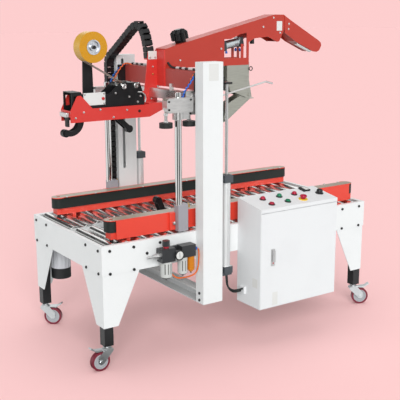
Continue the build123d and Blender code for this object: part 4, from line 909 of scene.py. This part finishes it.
bowl_guard.set(Base_Color=bowl_guard.mix(foot, bowl_shade, (0.1, 0.1, 0.1, 1)))
dress(bowl_guard, "air_bowls")
dial = facing(turned([(22, 0), (22, 1), (21, 1.4), (1, 1.4)], 32), (0, -1, 0))
piece("gauge_face", copies(dial, [gauge_place]), bare_plate, "frame")
rim = hoop((gauge_place[0], gauge_place[1] - 1, gauge_place[2]), 23.5, 40)
piece("gauge_rim", tube(rim, 3.0, 8, closed=True), panel_black, "frame")
needle = block(-485.4, -483.6, -491.2, -490.6, 551, 577)
piece("gauge_needle", needle, panel_black, "frame")
outlet = facing(turned([(6, 0), (6, 6), (9, 7), (9, 19), (7.5, 22), (4, 22)], 20), (1, 0, 0))
piece("air_outlet", copies(outlet, [(-381, -455, 572)]), air_blue, "frame")
hose_orange = moulded("hose_orange", "controls", (0.78, 0.16, 0.03), 0.25)
air_hose = smooth_line([
    (-361, -455, 572), (-348, -455, 562), (-343, -452, 520), (-345, -446, 465),
    (-358, -438, 430), (-400, -432, 418), (-455, -426, 420), (-482, -412, 440),
    (-488, -403, 470), (-488, -402, 503),
], 90)
piece("air_hose", tube(air_hose, 4), hose_orange, "frame")

# Cable chain
# Moulded black links of two side walls and two bars, pinned in a row. The upright stretch stands
# beside the far column, and the arch above it rides on the head.
chain_x = -372.0
chain_y = 430.0
chain_foot = 680.3
chain_top = 1480.0
chain_links = 26
chain_half_width = 24.0
chain_half_depth = 17.0
chain_wall = 7.0

link_pitch = (chain_top - chain_foot) / chain_links
half = link_pitch / 2
wall_line = np.array([
    (-chain_half_depth + 3, 0.4), (chain_half_depth - 3, 0.4),
    (chain_half_depth, half * 0.25), (chain_half_depth, half * 1.75),
    (chain_half_depth - 3, 2 * half - 0.4), (-chain_half_depth + 3, 2 * half - 0.4),
    (-chain_half_depth, half * 1.75), (-chain_half_depth, half * 0.25),
])
walls = []
for inner in (-chain_half_width, chain_half_width - chain_wall):
    ring = np.insert(wall_line, 0, inner, axis=1)
    walls.append(ringed(np.stack([ring, ring + (chain_wall, 0, 0)])))
bar_reach = chain_half_width - chain_wall + 1
bars = []
for y, low in ((-chain_half_depth + 3, 0.3), (chain_half_depth - 3, 0.06)):
    bars.append(block(-bar_reach, bar_reach, y - 2.5, y + 2.5, half * low, half * (2 - low)))
link = joined(*walls, *bars)
link_places = [(chain_x, chain_y, chain_foot + place * link_pitch) for place in range(chain_links)]
links = copies(link, link_places)
run = piece("chain_run_links", links, black_moulding, "frame", replaced=["cable_chain_run"])
arch_line = smooth_line([
    (-372, 430, 1478), (-370, 415, 1512), (-363, 358, 1552), (-354, 290, 1602), (-346, 222, 1652),
    (-339, 172, 1686), (-332, 130, 1694), (-326, 92, 1646), (-321, 70, 1570), (-320, 62, 1517),
], 220)


def strung(shape, line, pitch):
    """The shape repeated along a line at equal steps of about the pitch. At each stop its Z axis
    points along the line, and its X axis lies as near to the world's X axis as it can."""
    points, faces = shape
    travel = np.concatenate([[0], np.cumsum(np.linalg.norm(np.diff(line, axis=0), axis=1))])
    count = int(travel[-1] / pitch)
    way = np.gradient(line, axis=0)
    way /= np.linalg.norm(way, axis=1, keepdims=True)
    stops = np.searchsorted(travel, (np.arange(count) + 0.5) * travel[-1] / count)
    along = way[stops]
    level = np.cross(along, np.cross(along, (1.0, 0.0, 0.0)))
    level /= np.linalg.norm(level, axis=1, keepdims=True)
    bases = np.stack([level, np.cross(along, level), along], 1)
    strung_points = np.einsum("kj,aji->aki", points, bases) + line[stops][:, None]
    start = np.arange(count)[:, None, None] * len(points)
    strung_faces = [(part + start).reshape(-1, part.shape[1]) for part in faces]
    return strung_points.reshape(-1, 3), strung_faces


centred_link = (link[0] - (0, 0, half), link[1])
arch = strung(centred_link, arch_line, link_pitch)
piece("chain_arch_links", arch, black_moulding, "head", replaced=["cable_chain_arch"])
chain_anchor = tuple(at((chain_x, chain_y, chain_foot)))
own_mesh(run)
